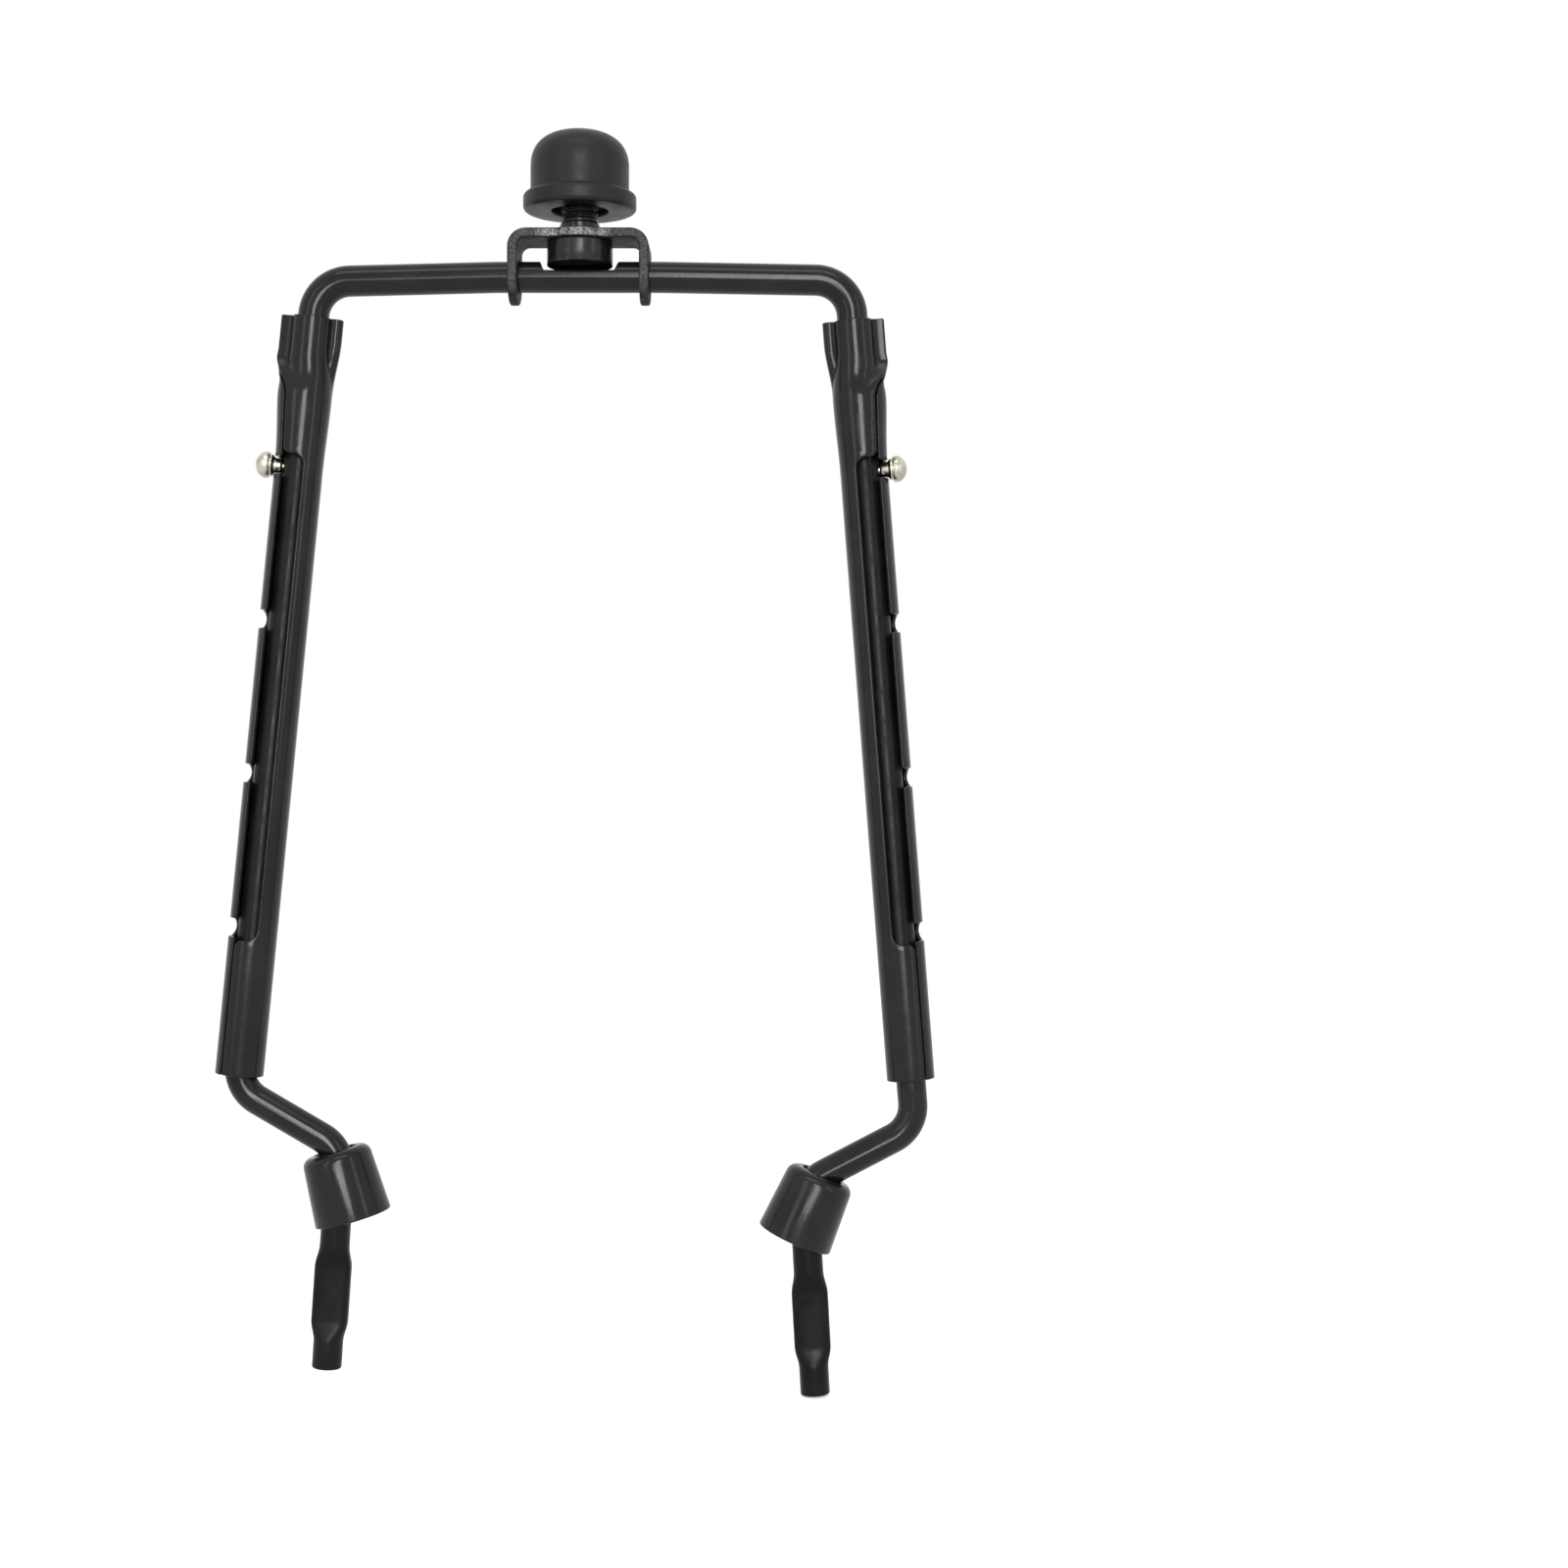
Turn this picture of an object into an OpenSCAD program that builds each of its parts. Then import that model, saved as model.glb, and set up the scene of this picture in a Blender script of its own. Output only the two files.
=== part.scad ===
// Adjustable lamp harp: a bent wire bow with a swivelling shade bracket and a finial knob,
// crimped into two slotted sleeves in which the two bent legs turn and lock.
// Millimetres, Z up, X along the bar, the front towards -Y.
// Z = 0 is the lower foot tip, and X = 0 is the middle of the width.

/* [Wire bow] */
// Diameter of the bow's wire
wire_d = 5.1; // [4:0.05:5.4]
// Distance from the stud's axis to the left corner of the bow
left_corner = 43.3; // [38:0.1:52]
// Distance from the stud's axis to the right corner of the bow
right_corner = 44.4; // [38:0.1:52]
// Bend radius of the corners, on the wire's centre line
corner_bend = 6.1; // [5:0.1:7]
// Length of wire held in each sleeve
wire_grip = 12; // [9:0.5:16]
// Length of the flat seat pressed into the middle of the bar
seat_len = 11.6; // [11.2:0.1:16]
// Height of the flat seat above the bar's axis
seat_h = 0.75; // [0.3:0.05:1.4]
// Length of the level middle of the bar
level_len = 27; // [24:0.5:36]
// Fall of the bar from its level middle to the left corner
left_bow_fall = 0.75; // [0.2:0.05:1.2]
// Fall of the bar from its level middle to the right corner
right_bow_fall = 0.55; // [0.2:0.05:1.2]

/* [Sleeves] */
// Length of each sleeve
tube_len = 125.2; // [120:0.1:150]
// Outside diameter of the rolled sleeve
tube_od = 7.9; // [7.2:0.05:8.4]
// Thickness of the sheet
tube_wall = 0.7; // [0.5:0.05:0.8]
// Lean of the left sleeve
left_tilt = 5.6; // [2:0.1:8]
// Lean of the right sleeve
right_tilt = 4.4; // [2:0.1:8]
// Distance from the left corner of the bow down to its sleeve
left_drop = 5.95; // [5.6:0.05:12]
// Distance from the right corner of the bow down to its sleeve
right_drop = 6.7; // [5.6:0.05:12]
// Length of the pinched part at the top
crimp_len = 6.6; // [5:0.1:9]
// Length over which the pinched part runs out into the round
blend_len = 6.8; // [4:0.1:10]
// Reach of the pinched edge on the outer side
outer_wing = 5.35; // [4.4:0.05:6.2]
// Reach of the folded edge on the inner side
inner_wing = 5.0; // [4.4:0.05:6]
// Width of the open seam
seam_gap = 0.35; // [0.2:0.05:0.5]
// Angle of the seam from the front towards the outer side
seam_angle = 37; // [30:1:45]

/* [Slots and notches] */
// Width of the long slot
slot_w = 3.9; // [3.4:0.05:4.4]
// Number of height settings
settings = 4; // [2:1:4]
// Step between two height settings
notch_pitch = 25.4; // [15:0.1:26]
// Height of a notch
notch_h = 3; // [3:0.05:4.2]
// Distance from the top of the sleeve to the top notch
notch_drop = 24.8; // [22:0.1:30]
// Turn from the sleeve's side to the blind end of a notch
notch_past = 32; // [30:1:50]

/* [Locking pins] */
// Diameter of the pin's head
pin_head_d = 4.4; // [4.2:0.05:5.4]
// Thickness of the pin's head
pin_head_h = 2.6; // [1.2:0.05:3]
// Gap between the sleeve and the pin's head
pin_gap = 0.5; // [0.3:0.05:1.5]
// Diameter of the neck under the head
pin_neck_d = 2.6; // [2:0.05:3]
// Diameter of the neck at the rod
pin_root_d = 1.4; // [1.2:0.05:2]
// Depth of the pin's shank in the rod
pin_depth = 1.6; // [1:0.05:2]

/* [Legs] */
// Diameter of the leg's rod
rod_d = 4.9; // [4.2:0.05:5]
// Length of rod above the locking pin
rod_above = 6; // [4:0.1:8]
// Straight run below the left sleeve before the bend
left_run = 2.3; // [2.2:0.1:10]
// Straight run below the right sleeve before the bend
right_run = 7.9; // [2.2:0.1:10]
// Length of the left leg's slanting part, between corners
left_slant = 19.7; // [15:0.1:26]
// Length of the right leg's slanting part, between corners
right_slant = 20.6; // [15:0.1:26]
// Fall of the left leg's slanting part below the level
left_fall = 30.4; // [25:0.1:40]
// Fall of the right leg's slanting part below the level
right_fall = 27.5; // [25:0.1:40]
// Bend radius of the legs, on the centre line
leg_bend = 6; // [5:0.1:7]
// Length of the left foot, from the bend's corner to the tip
left_foot_len = 36.1; // [32:0.1:45]
// Length of the right foot, from the bend's corner to the tip
right_foot_len = 34.5; // [32:0.1:45]
// Outward lean of the left foot
left_foot_lean = 3.8; // [0:0.1:6]
// Outward lean of the right foot
right_foot_lean = 3.2; // [-6:0.1:6]

/* [Feet] */
// Diameter of the foot's round tip
tip_d = 4.85; // [4:0.05:4.9]
// Length of the foot's round tip
tip_len = 4.4; // [4:0.1:8]
// Width of the flattened part
flat_w = 6; // [5.2:0.05:6.4]
// Thickness of the flattened part
flat_t = 3.2; // [2.6:0.05:4]
// Length of the flattened part with its run-outs
flat_len = 15.8; // [12:0.1:16]
// Length of each run-out of the flattened part
flat_blend = 3.6; // [2.5:0.1:4.5]

/* [Ferrules] */
// Diameter at the ferrule's closed end
ferrule_top_d = 11.2; // [10:0.1:12]
// Diameter at the ferrule's mouth
ferrule_mouth_d = 12.7; // [11.6:0.1:14]
// Height of the ferrule
ferrule_h = 11.5; // [9:0.1:12]
// Thickness of the ferrule's wall
ferrule_wall = 0.5; // [0.4:0.05:0.7]
// Radius of the ferrule's shoulder
ferrule_shoulder = 1.7; // [1.2:0.05:2]
// Diameter of the hole in the closed end
ferrule_hole = 6.9; // [6.4:0.05:7.2]
// Tilt of the left ferrule on its leg
left_ferrule_tilt = 15.2; // [10:0.1:18]
// Tilt of the right ferrule on its leg
right_ferrule_tilt = 23.5; // [18:0.1:24]

/* [Shade bracket] */
// Width of the bracket over its ears
bracket_w = 23.1; // [21:0.1:28]
// Depth of the bracket from front to back
bracket_depth = 9.2; // [8.4:0.1:11]
// Thickness of the bracket's sheet
bracket_t = 1.6; // [1.2:0.05:1.8]
// Height of the bracket's top above the bar's axis
bracket_h = 7.3; // [6.9:0.1:9]
// Bend radius of the bracket's shoulders, outside
bracket_bend = 3; // [2:0.1:4]
// Diameter of the round land that carries the stud
land_d = 11.5; // [10:0.1:13]
// Gap all round between the bar and the ears
swivel_gap = 0.1; // [0.05:0.01:0.2]

/* [Finial stud] */
// Diameter of the stud's thread
stud_d = 6.1; // [5.6:0.05:6.3]
// Height of the stud above the bracket
stud_h = 9.9; // [8:0.1:10.4]
// Diameter of the stud's shoulder
shoulder_d = 6.5; // [6.3:0.05:7.4]
// Height of the stud's shoulder above the bracket
shoulder_h = 1.3; // [0.6:0.05:1.8]
// Diameter of the stud's head under the bracket
head_d = 10.8; // [9:0.1:11.4]
// Height of the straight edge of the stud's head
head_edge = 3.8; // [1.5:0.1:4.2]
// Height of the dome under the stud's head
head_dome = 0.3; // [0.2:0.1:2.4]

/* [Finial knob] */
// Diameter of the knob's body
knob_d = 16.2; // [13:0.1:18]
// Diameter of the knob's flange
flange_d = 18.6; // [17:0.1:22]
// Thickness of the knob's flange
flange_h = 2.9; // [2:0.1:3.5]
// Height of the straight part of the knob, above the flange
knob_side = 4.2; // [3:0.1:8]
// Height of the knob's crown
crown_h = 6.1; // [5:0.1:9]
// Gap between the bracket and the knob
knob_lift = 3.5; // [2.6:0.1:5]
// Gap all round between the thread and the knob's bore
thread_gap = 0.05; // [0.02:0.01:0.1]
// Diameter of the recess under the knob
recess_d = 9.4; // [8:0.1:12]
// Depth of the recess under the knob
recess_h = 1.5; // [1:0.1:2]

/* [Hidden] */
black = "#18181a";
nickel = "#c9c2b2";
$fn = 64;
facets = 32;
rod_sides = 32;
bend_steps = 10;
level_bend = 60;
blend_steps = 5;
sliver = 0.02;
lap = 0.3;
overcut = 1;

// The left side's values come first and the right side's second
LEFT = 0;
RIGHT = 1;
corner = [left_corner, right_corner];
tilt = [left_tilt, right_tilt];
bow_fall = [left_bow_fall, right_bow_fall];
drop = [left_drop, right_drop];
run = [left_run, right_run];
slant = [left_slant, right_slant];
fall = [left_fall, right_fall];
foot_len = [left_foot_len, right_foot_len];
foot_lean = [left_foot_lean, right_foot_lean];
ferrule_tilt = [left_ferrule_tilt, right_ferrule_tilt];

// A point of a side is [outward distance from the stud, height above the bar's axis]
function unit(v) = v / norm(v);
function along_tube(side) = [sin(tilt[side]), -cos(tilt[side])];
function along_slant(side) = [-cos(fall[side]), -sin(fall[side])];
function along_foot(side) = [sin(foot_lean[side]), -cos(foot_lean[side])];
function bow_corner(side) = [corner[side], -bow_fall[side]];
level_end = [level_len / 2, 0];
function tube_top(side) = bow_corner(side) + drop[side] * along_tube(side);
function tube_end(side) = tube_top(side) + tube_len * along_tube(side);
function pin_point(side) = tube_top(side) + notch_drop * along_tube(side);
function leg_top(side) = pin_point(side) - rod_above * along_tube(side);
function first_bend(side) = tube_end(side) + run[side] * along_tube(side);
function second_bend(side) = first_bend(side) + slant[side] * along_slant(side);
function foot_tip(side) = second_bend(side) + foot_len[side] * along_foot(side);

// The place of the stud, from the outermost edges of the sleeves and the lowest foot
function reach(side) = tube_end(side)[0] + tube_od / 2 * cos(tilt[side]);
function depth(side) = -foot_tip(side)[1] + tip_d / 2 * abs(sin(foot_lean[side]));
stud_x = (reach(LEFT) - reach(RIGHT)) / 2;
bar_z = max(depth(LEFT), depth(RIGHT));

// Where the bend of the leg leaves the slanting part, and the turn of that bend
function foot_turn(side) = 90 - fall[side] + foot_lean[side];
function foot_tangent(side) = leg_bend * tan(foot_turn(side) / 2);

// The ferrule hangs round the bend: the share of the turn that lies above its hole
hole_share = [0.5, 0.08];
function bend_centre(side) =
    second_bend(side)
    + unit(unit(-along_slant(side)) + unit(along_foot(side))) * leg_bend / cos(foot_turn(side) / 2);
function bend_angle(side) = foot_turn(side) * hole_share[side];
function turned(v, a) = [v[0] * cos(a) - v[1] * sin(a), v[0] * sin(a) + v[1] * cos(a)];
function ferrule_point(side) =
    bend_centre(side)
    + turned(second_bend(side) - foot_tangent(side) * along_slant(side) - bend_centre(side),
        bend_angle(side));

// Sizes of the stud and the knob, above the bracket's top
bracket_top = bar_z + bracket_h;
ear_x = bracket_w / 2 - bracket_t;
knob_z = bracket_top + knob_lift;
bore_spare = 0.4;
bore_h = stud_h + bore_spare - recess_h;
crown_power = 2.5;
flat_power = 3.5;
crown_steps = 14;
arc_steps = 8;
flange_round = 0.6;
edge_round = 0.35;

// Sizes of the sleeve that follow from its sheet
tube_id = tube_od - 2 * tube_wall;
slot_angle = 2 * asin(slot_w / tube_od);
slot_mid = seam_angle - slot_angle / 2;
slot_top = tube_len - notch_drop + slot_w / 2;
slot_bottom = slot_top - (settings - 1) * notch_pitch - slot_w;
notch_end_turn = 90 + notch_past - asin(notch_h / tube_od);
round_len = tube_len - crimp_len - blend_len;
collar_d = tube_od + 0.6;
collar_len = 12;

// Moves the children to a side of the harp, with the outward direction along +X
module on_side(side) {
    translate([stud_x, 0, bar_z])
        mirror([side == LEFT ? 1 : 0, 0, 0])
            children();
}

// Moves the children to a point of the side, turned so that their -Z follows the direction
module hung(point, direction) {
    translate([point[0], 0, point[1]])
        rotate([0, atan2(-direction[0], -direction[1]), 0])
            children();
}

// A section across a rod: where it is, the angle of its run, its two half widths and its squareness
function section(at, run_angle, w, t, power) = [at, run_angle, w, t, power];
function round_section(at, run_angle, d) = section(at, run_angle, d / 2, d / 2, 2);
function angle_of(v) = atan2(v[1], v[0]);

// The sections of a round bend at the middle one of three points
function bend_sections(before, at, after, d, r) =
    let (u = unit(at - before))
    let (v = unit(after - at))
    let (side = u[0] * v[1] - u[1] * v[0] > 0 ? 1 : -1)
    let (turn = acos(u * v))
    let (start = at - u * r * tan(turn / 2))
    let (centre = start + side * r * turned(u, 90))
    [
        for (i = [0:bend_steps])
            round_section(
                centre + turned(start - centre, side * turn * i / bend_steps),
                angle_of(u) + side * turn * i / bend_steps,
                d
            )
    ];

function signed_pow(x, power) = sign(x) * pow(abs(x), power);

// The points round one section, square ones having a higher power than round ones
function ring(s) = [
    for (i = [0:rod_sides - 1])
        let (across = s[2] * signed_pow(cos(360 * i / rod_sides), 2 / s[4]))
        let (deep = s[3] * signed_pow(sin(360 * i / rod_sides), 2 / s[4]))
        [s[0][0] - across * sin(s[1]), deep, s[0][1] + across * cos(s[1])]
];

// A rod that runs through its sections in the XZ plane
module rod_through(sections) {
    last = len(sections) - 1;
    polyhedron(
        points = [for (s = sections) each ring(s)],
        faces = concat(
            [[for (i = [rod_sides - 1:-1:0]) i]],
            [
                for (k = [0:last - 1])
                    for (i = [0:rod_sides - 1])
                        let (a = k * rod_sides + i)
                        let (b = k * rod_sides + (i + 1) % rod_sides)
                        each [[a, b, b + rod_sides], [a, b + rod_sides, a + rod_sides]]
            ],
            [[for (i = [0:rod_sides - 1]) last * rod_sides + i]]
        )
    );
}

// The sections of one half of the bow, from the stud's axis into one sleeve
function half_bow(side) =
    let (wire_end = tube_top(side) + wire_grip * along_tube(side))
    concat(
        bend_sections([0, 0], level_end, bow_corner(side), wire_d, level_bend),
        bend_sections(level_end, bow_corner(side), wire_end, wire_d, corner_bend),
        [round_section(wire_end, angle_of(along_tube(side)), wire_d)]
    );

// The same sections seen from the other side of the stud, so that one run passes both halves
function flipped(sections) = [
    for (i = [len(sections) - 1:-1:0])
        let (s = sections[i])
        section([-s[0][0], s[0][1]], -s[1], s[2], s[3], s[4])
];

module top_bow() {
    color(black)
        translate([stud_x, 0, bar_z])
            difference() {
                rod_through(concat(flipped(half_bow(LEFT)), half_bow(RIGHT)));
                translate([-seat_len / 2, -wire_d, seat_h])
                    cube([seat_len, 2 * wire_d, wire_d]);
            }
}

// The outline of the pinched end: two sheets folded flat on both sides of the wire
module crimp_outline(inset) {
    edge = tube_wall - inset;
    circle(d = wire_d + 2 * edge);
    translate([tube_wall - inner_wing, -edge])
        square([inner_wing + outer_wing - 2 * tube_wall, 2 * edge]);
    for (x = [tube_wall - inner_wing, outer_wing - tube_wall])
        translate([x, 0])
            circle(r = edge);
}

// The outside of the sleeve, standing on its lower end, with the outer side towards +X
module sleeve_body() {
    cylinder(h = round_len - collar_len, d = tube_od);
    translate([0, 0, round_len - collar_len])
        cylinder(h = collar_len, d1 = tube_od, d2 = collar_d);
    hull() {
        translate([0, 0, round_len - lap])
            cylinder(h = lap, d = collar_d - sliver, $fn = facets);
        translate([0, 0, tube_len - crimp_len])
            linear_extrude(lap)
                crimp_outline(sliver, $fn = facets);
    }
    translate([0, 0, tube_len - crimp_len])
        linear_extrude(crimp_len)
            crimp_outline(0);
}

// The inside of the sleeve: a round bore that narrows to grip the wire
module sleeve_bore() {
    translate([0, 0, -overcut])
        cylinder(h = round_len + overcut, d = tube_id);
    translate([0, 0, round_len])
        cylinder(h = blend_len, d1 = tube_id, d2 = wire_d);
    translate([0, 0, tube_len - crimp_len])
        cylinder(h = crimp_len + overcut, d = wire_d);
}

// A cut through the front half of the wall at a turn from the front towards the outer side
module cut_at(turn) {
    rotate([0, 0, turn])
        rotate([90, 0, 0])
            children();
}

// The long front slot with round ends
module long_slot() {
    cut_at(slot_mid) {
        for (z = [slot_bottom + slot_w / 2, slot_top - slot_w / 2])
            translate([0, z, 0])
                cylinder(h = tube_od, d = slot_w);
        translate([-slot_w / 2, slot_bottom + slot_w / 2, 0])
            cube([slot_w, slot_top - slot_bottom - slot_w, tube_od]);
    }
}

// A notch from the long slot round the outer side to its round blind end
module notch(z) {
    cut_at(notch_end_turn)
        translate([0, z, 0])
            cylinder(h = tube_od, d = notch_h);
    translate([0, 0, z - notch_h / 2 + sliver])
        rotate([0, 0, slot_mid - 90])
            rotate_extrude(angle = notch_end_turn - slot_mid)
                square([tube_od, notch_h - 2 * sliver]);
}

// The open seam of the rolled sheet, below and above the slot and in the pinched edge
module seam() {
    rotate([0, 0, seam_angle])
        translate([-seam_gap / 2, -tube_od, -overcut])
            cube([seam_gap, tube_od, tube_len - crimp_len - blend_len + overcut]);
    translate([0, -seam_gap / 4, tube_len - crimp_len])
        cube([outer_wing + overcut, seam_gap / 2, crimp_len + overcut]);
}

module sleeve() {
    difference() {
        sleeve_body();
        sleeve_bore();
        long_slot();
        for (i = [0:settings - 1])
            notch(tube_len - notch_drop - i * notch_pitch);
        seam();
    }
}

module tube_on(side) {
    on_side(side)
        hung(tube_end(side), along_tube(side))
            sleeve();
}

module left_tube() {
    color(black)
        tube_on(LEFT);
}

module right_tube() {
    color(black)
        tube_on(RIGHT);
}

// The sections of a leg: upright in the sleeve, slanting inwards, then down to a flattened foot
function leg_sections(side) =
    let (top = leg_top(side))
    let (one = first_bend(side))
    let (two = second_bend(side))
    let (middle = (one + two) / 2)
    let (tip = foot_tip(side))
    let (up = angle_of(along_tube(side)))
    let (down = angle_of(along_foot(side)))
    concat(
        [
            round_section(top, up, rod_d - 2 * edge_round),
            round_section(top + edge_round * along_tube(side), up, rod_d)
        ],
        bend_sections(top, one, middle, rod_d, leg_bend),
        bend_sections(middle, two, tip, rod_d, leg_bend),
        [
            for (f = foot_profile)
                section(tip - (tip_len + f[0]) * along_foot(side), down, f[1] / 2, f[2] / 2, f[3])
        ]
    );

// The foot above its tip: height over the tip, width, thickness and squareness, from the top down
function eased(f) = (1 - cos(180 * f)) / 2;
function between(a, b, f) = a + (b - a) * eased(f);
foot_profile = concat(
    [
        for (i = [0:blend_steps])
            let (f = i / blend_steps)
            [
                flat_len - flat_blend * f,
                between(rod_d, flat_w, f),
                between(rod_d, flat_t, f),
                between(2, flat_power, f)
            ]
    ],
    [
        for (i = [0:blend_steps])
            let (f = i / blend_steps)
            [
                flat_blend * (1 - f) - lap * f,
                between(flat_w, tip_d - sliver, f),
                between(flat_t, tip_d - sliver, f),
                between(flat_power, 2, f)
            ]
    ]
);

// The round tip with its chamfered end, standing on that end
module foot_end() {
    cylinder(h = edge_round, d1 = tip_d - 2 * edge_round, d2 = tip_d);
    translate([0, 0, edge_round])
        cylinder(h = tip_len - edge_round, d = tip_d);
}

module leg_on(side) {
    on_side(side)
        difference() {
            union() {
                rod_through(leg_sections(side));
                hung(foot_tip(side), along_foot(side))
                    foot_end();
            }
            hung(pin_point(side), along_tube(side))
                rotate([0, 90, 0])
                    translate([0, 0, rod_d / 2 - pin_depth])
                        cylinder(h = rod_d, d = pin_root_d);
        }
}

module left_leg() {
    color(black)
        leg_on(LEFT);
}

module right_leg() {
    color(black)
        leg_on(RIGHT);
}

// A locking pin along +Z, with its origin on the rod's axis
module pin() {
    seat = rod_d / 2;
    head = tube_od / 2 + pin_gap;
    crown = pin_head_h * 0.4;
    rotate_extrude()
        polygon(concat(
            [
                [0, seat - pin_depth],
                [pin_root_d / 2, seat - pin_depth],
                [pin_root_d / 2, tube_id / 2],
                [pin_neck_d / 2, head - pin_gap / 3],
                [pin_neck_d / 2, head],
                [pin_head_d / 2, head + edge_round]
            ],
            [
                for (i = [0:arc_steps])
                    [
                        pin_head_d / 2 * cos(90 * i / arc_steps),
                        head + pin_head_h - crown + crown * sin(90 * i / arc_steps)
                    ]
            ]
        ));
}

module pin_on(side) {
    on_side(side)
        hung(pin_point(side), along_tube(side))
            rotate([0, 90, 0])
                pin();
}

module left_pin() {
    color(nickel)
        pin_on(LEFT);
}

module right_pin() {
    color(nickel)
        pin_on(RIGHT);
}

// The outline of a cup with a rounded shoulder, closed end up at z = 0, mouth at -height
module cup_outline(top_d, mouth_d, height, shoulder) {
    polygon(concat(
        [[0, 0]],
        [
            for (i = [0:arc_steps])
                [
                    top_d / 2 - shoulder + shoulder * sin(90 * i / arc_steps),
                    -shoulder + shoulder * cos(90 * i / arc_steps)
                ]
        ],
        [[mouth_d / 2, -height], [0, -height]]
    ));
}

module ferrule() {
    rotate_extrude()
        difference() {
            cup_outline(ferrule_top_d, ferrule_mouth_d, ferrule_h, ferrule_shoulder);
            translate([0, -ferrule_wall])
                cup_outline(ferrule_top_d - 2 * ferrule_wall, ferrule_mouth_d - 2 * ferrule_wall,
                    ferrule_h, ferrule_shoulder - ferrule_wall);
            translate([0, -ferrule_h])
                square([ferrule_hole / 2, 2 * ferrule_h]);
        }
}

module ferrule_on(side) {
    on_side(side)
        translate([ferrule_point(side)[0], 0, ferrule_point(side)[1]])
            rotate([0, ferrule_tilt[side], 0])
                translate([0, 0, ferrule_wall / 2])
                    ferrule();
}

module left_ferrule() {
    color(black)
        ferrule_on(LEFT);
}

module right_ferrule() {
    color(black)
        ferrule_on(RIGHT);
}

// The bracket's front outline: a strip folded down at both ends
module bracket_front() {
    bottom = -bracket_depth / 2;
    difference() {
        union() {
            translate([-bracket_w / 2, bottom])
                square([bracket_w, bracket_h - bracket_bend - bottom]);
            translate([-bracket_w / 2 + bracket_bend, bottom])
                square([bracket_w - 2 * bracket_bend, bracket_h - bottom]);
            for (x = [-1, 1])
                translate([x * (bracket_w / 2 - bracket_bend), bracket_h - bracket_bend])
                    circle(r = bracket_bend);
        }
        translate([-ear_x, bottom - overcut])
            square([2 * ear_x, bracket_h - bracket_bend - bottom + overcut]);
        translate([-bracket_w / 2 + bracket_bend, bottom - overcut])
            square([bracket_w - 2 * bracket_bend, bracket_h - bracket_t - bottom + overcut]);
        for (x = [-1, 1])
            translate([x * (bracket_w / 2 - bracket_bend), bracket_h - bracket_bend])
                circle(r = bracket_bend - bracket_t);
    }
}

// The bracket's side outline: straight above the bar and round below it
module bracket_side() {
    circle(d = bracket_depth);
    translate([-bracket_depth / 2, 0])
        square([bracket_depth, bracket_h + overcut]);
}

module swivel_bracket() {
    color(black)
        translate([stud_x, 0, bar_z])
            difference() {
                union() {
                    intersection() {
                        rotate([90, 0, 0])
                            translate([0, 0, -bracket_depth])
                                linear_extrude(2 * bracket_depth)
                                    bracket_front();
                        rotate([90, 0, 90])
                            translate([0, 0, -bracket_w])
                                linear_extrude(2 * bracket_w)
                                    bracket_side();
                    }
                    translate([0, 0, bracket_h - bracket_t])
                        cylinder(h = bracket_t, d = land_d);
                }
                rotate([0, 90, 0])
                    translate([0, 0, -bracket_w])
                        cylinder(h = 2 * bracket_w, d = wire_d + 2 * swivel_gap);
                cylinder(h = 2 * bracket_h, d = shoulder_d);
            }
}

module finial_stud() {
    flat_under = bracket_top - bracket_t;
    color(black)
        translate([stud_x, 0, 0])
            rotate_extrude()
                polygon(concat(
                    [
                        [0, bracket_top + stud_h],
                        [stud_d / 2 - edge_round, bracket_top + stud_h],
                        [stud_d / 2, bracket_top + stud_h - edge_round],
                        [stud_d / 2, bracket_top + shoulder_h],
                        [shoulder_d / 2, bracket_top + shoulder_h],
                        [shoulder_d / 2, flat_under],
                        [head_d / 2, flat_under]
                    ],
                    [
                        for (i = [0:arc_steps])
                            [
                                head_d / 2 * cos(90 * i / arc_steps),
                                flat_under - head_edge - head_dome * sin(90 * i / arc_steps)
                            ]
                    ]
                ));
}

module finial_knob() {
    crown_base = flange_h + knob_side;
    color(black)
        translate([stud_x, 0, knob_z])
            difference() {
                rotate_extrude()
                    polygon(concat(
                        [
                            [0, 0],
                            [flange_d / 2 - flange_round, 0],
                            [flange_d / 2, flange_round],
                            [flange_d / 2, flange_h - flange_round],
                            [flange_d / 2 - flange_round, flange_h],
                            [knob_d / 2, flange_h]
                        ],
                        [
                            for (i = [0:crown_steps])
                                [
                                    knob_d / 2 * pow(cos(90 * i / crown_steps), 2 / crown_power),
                                    crown_base
                                        + crown_h * pow(sin(90 * i / crown_steps), 2 / crown_power)
                                ]
                        ]
                    ));
                translate([0, 0, -overcut])
                    cylinder(h = recess_h + overcut, d = recess_d);
                translate([0, 0, recess_h - sliver])
                    cylinder(h = bore_h, d = stud_d + 2 * thread_gap);
            }
}

top_bow();
left_tube();
right_tube();
left_leg();
right_leg();
left_pin();
right_pin();
left_ferrule();
right_ferrule();
swivel_bracket();
finial_stud();
finial_knob();
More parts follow.
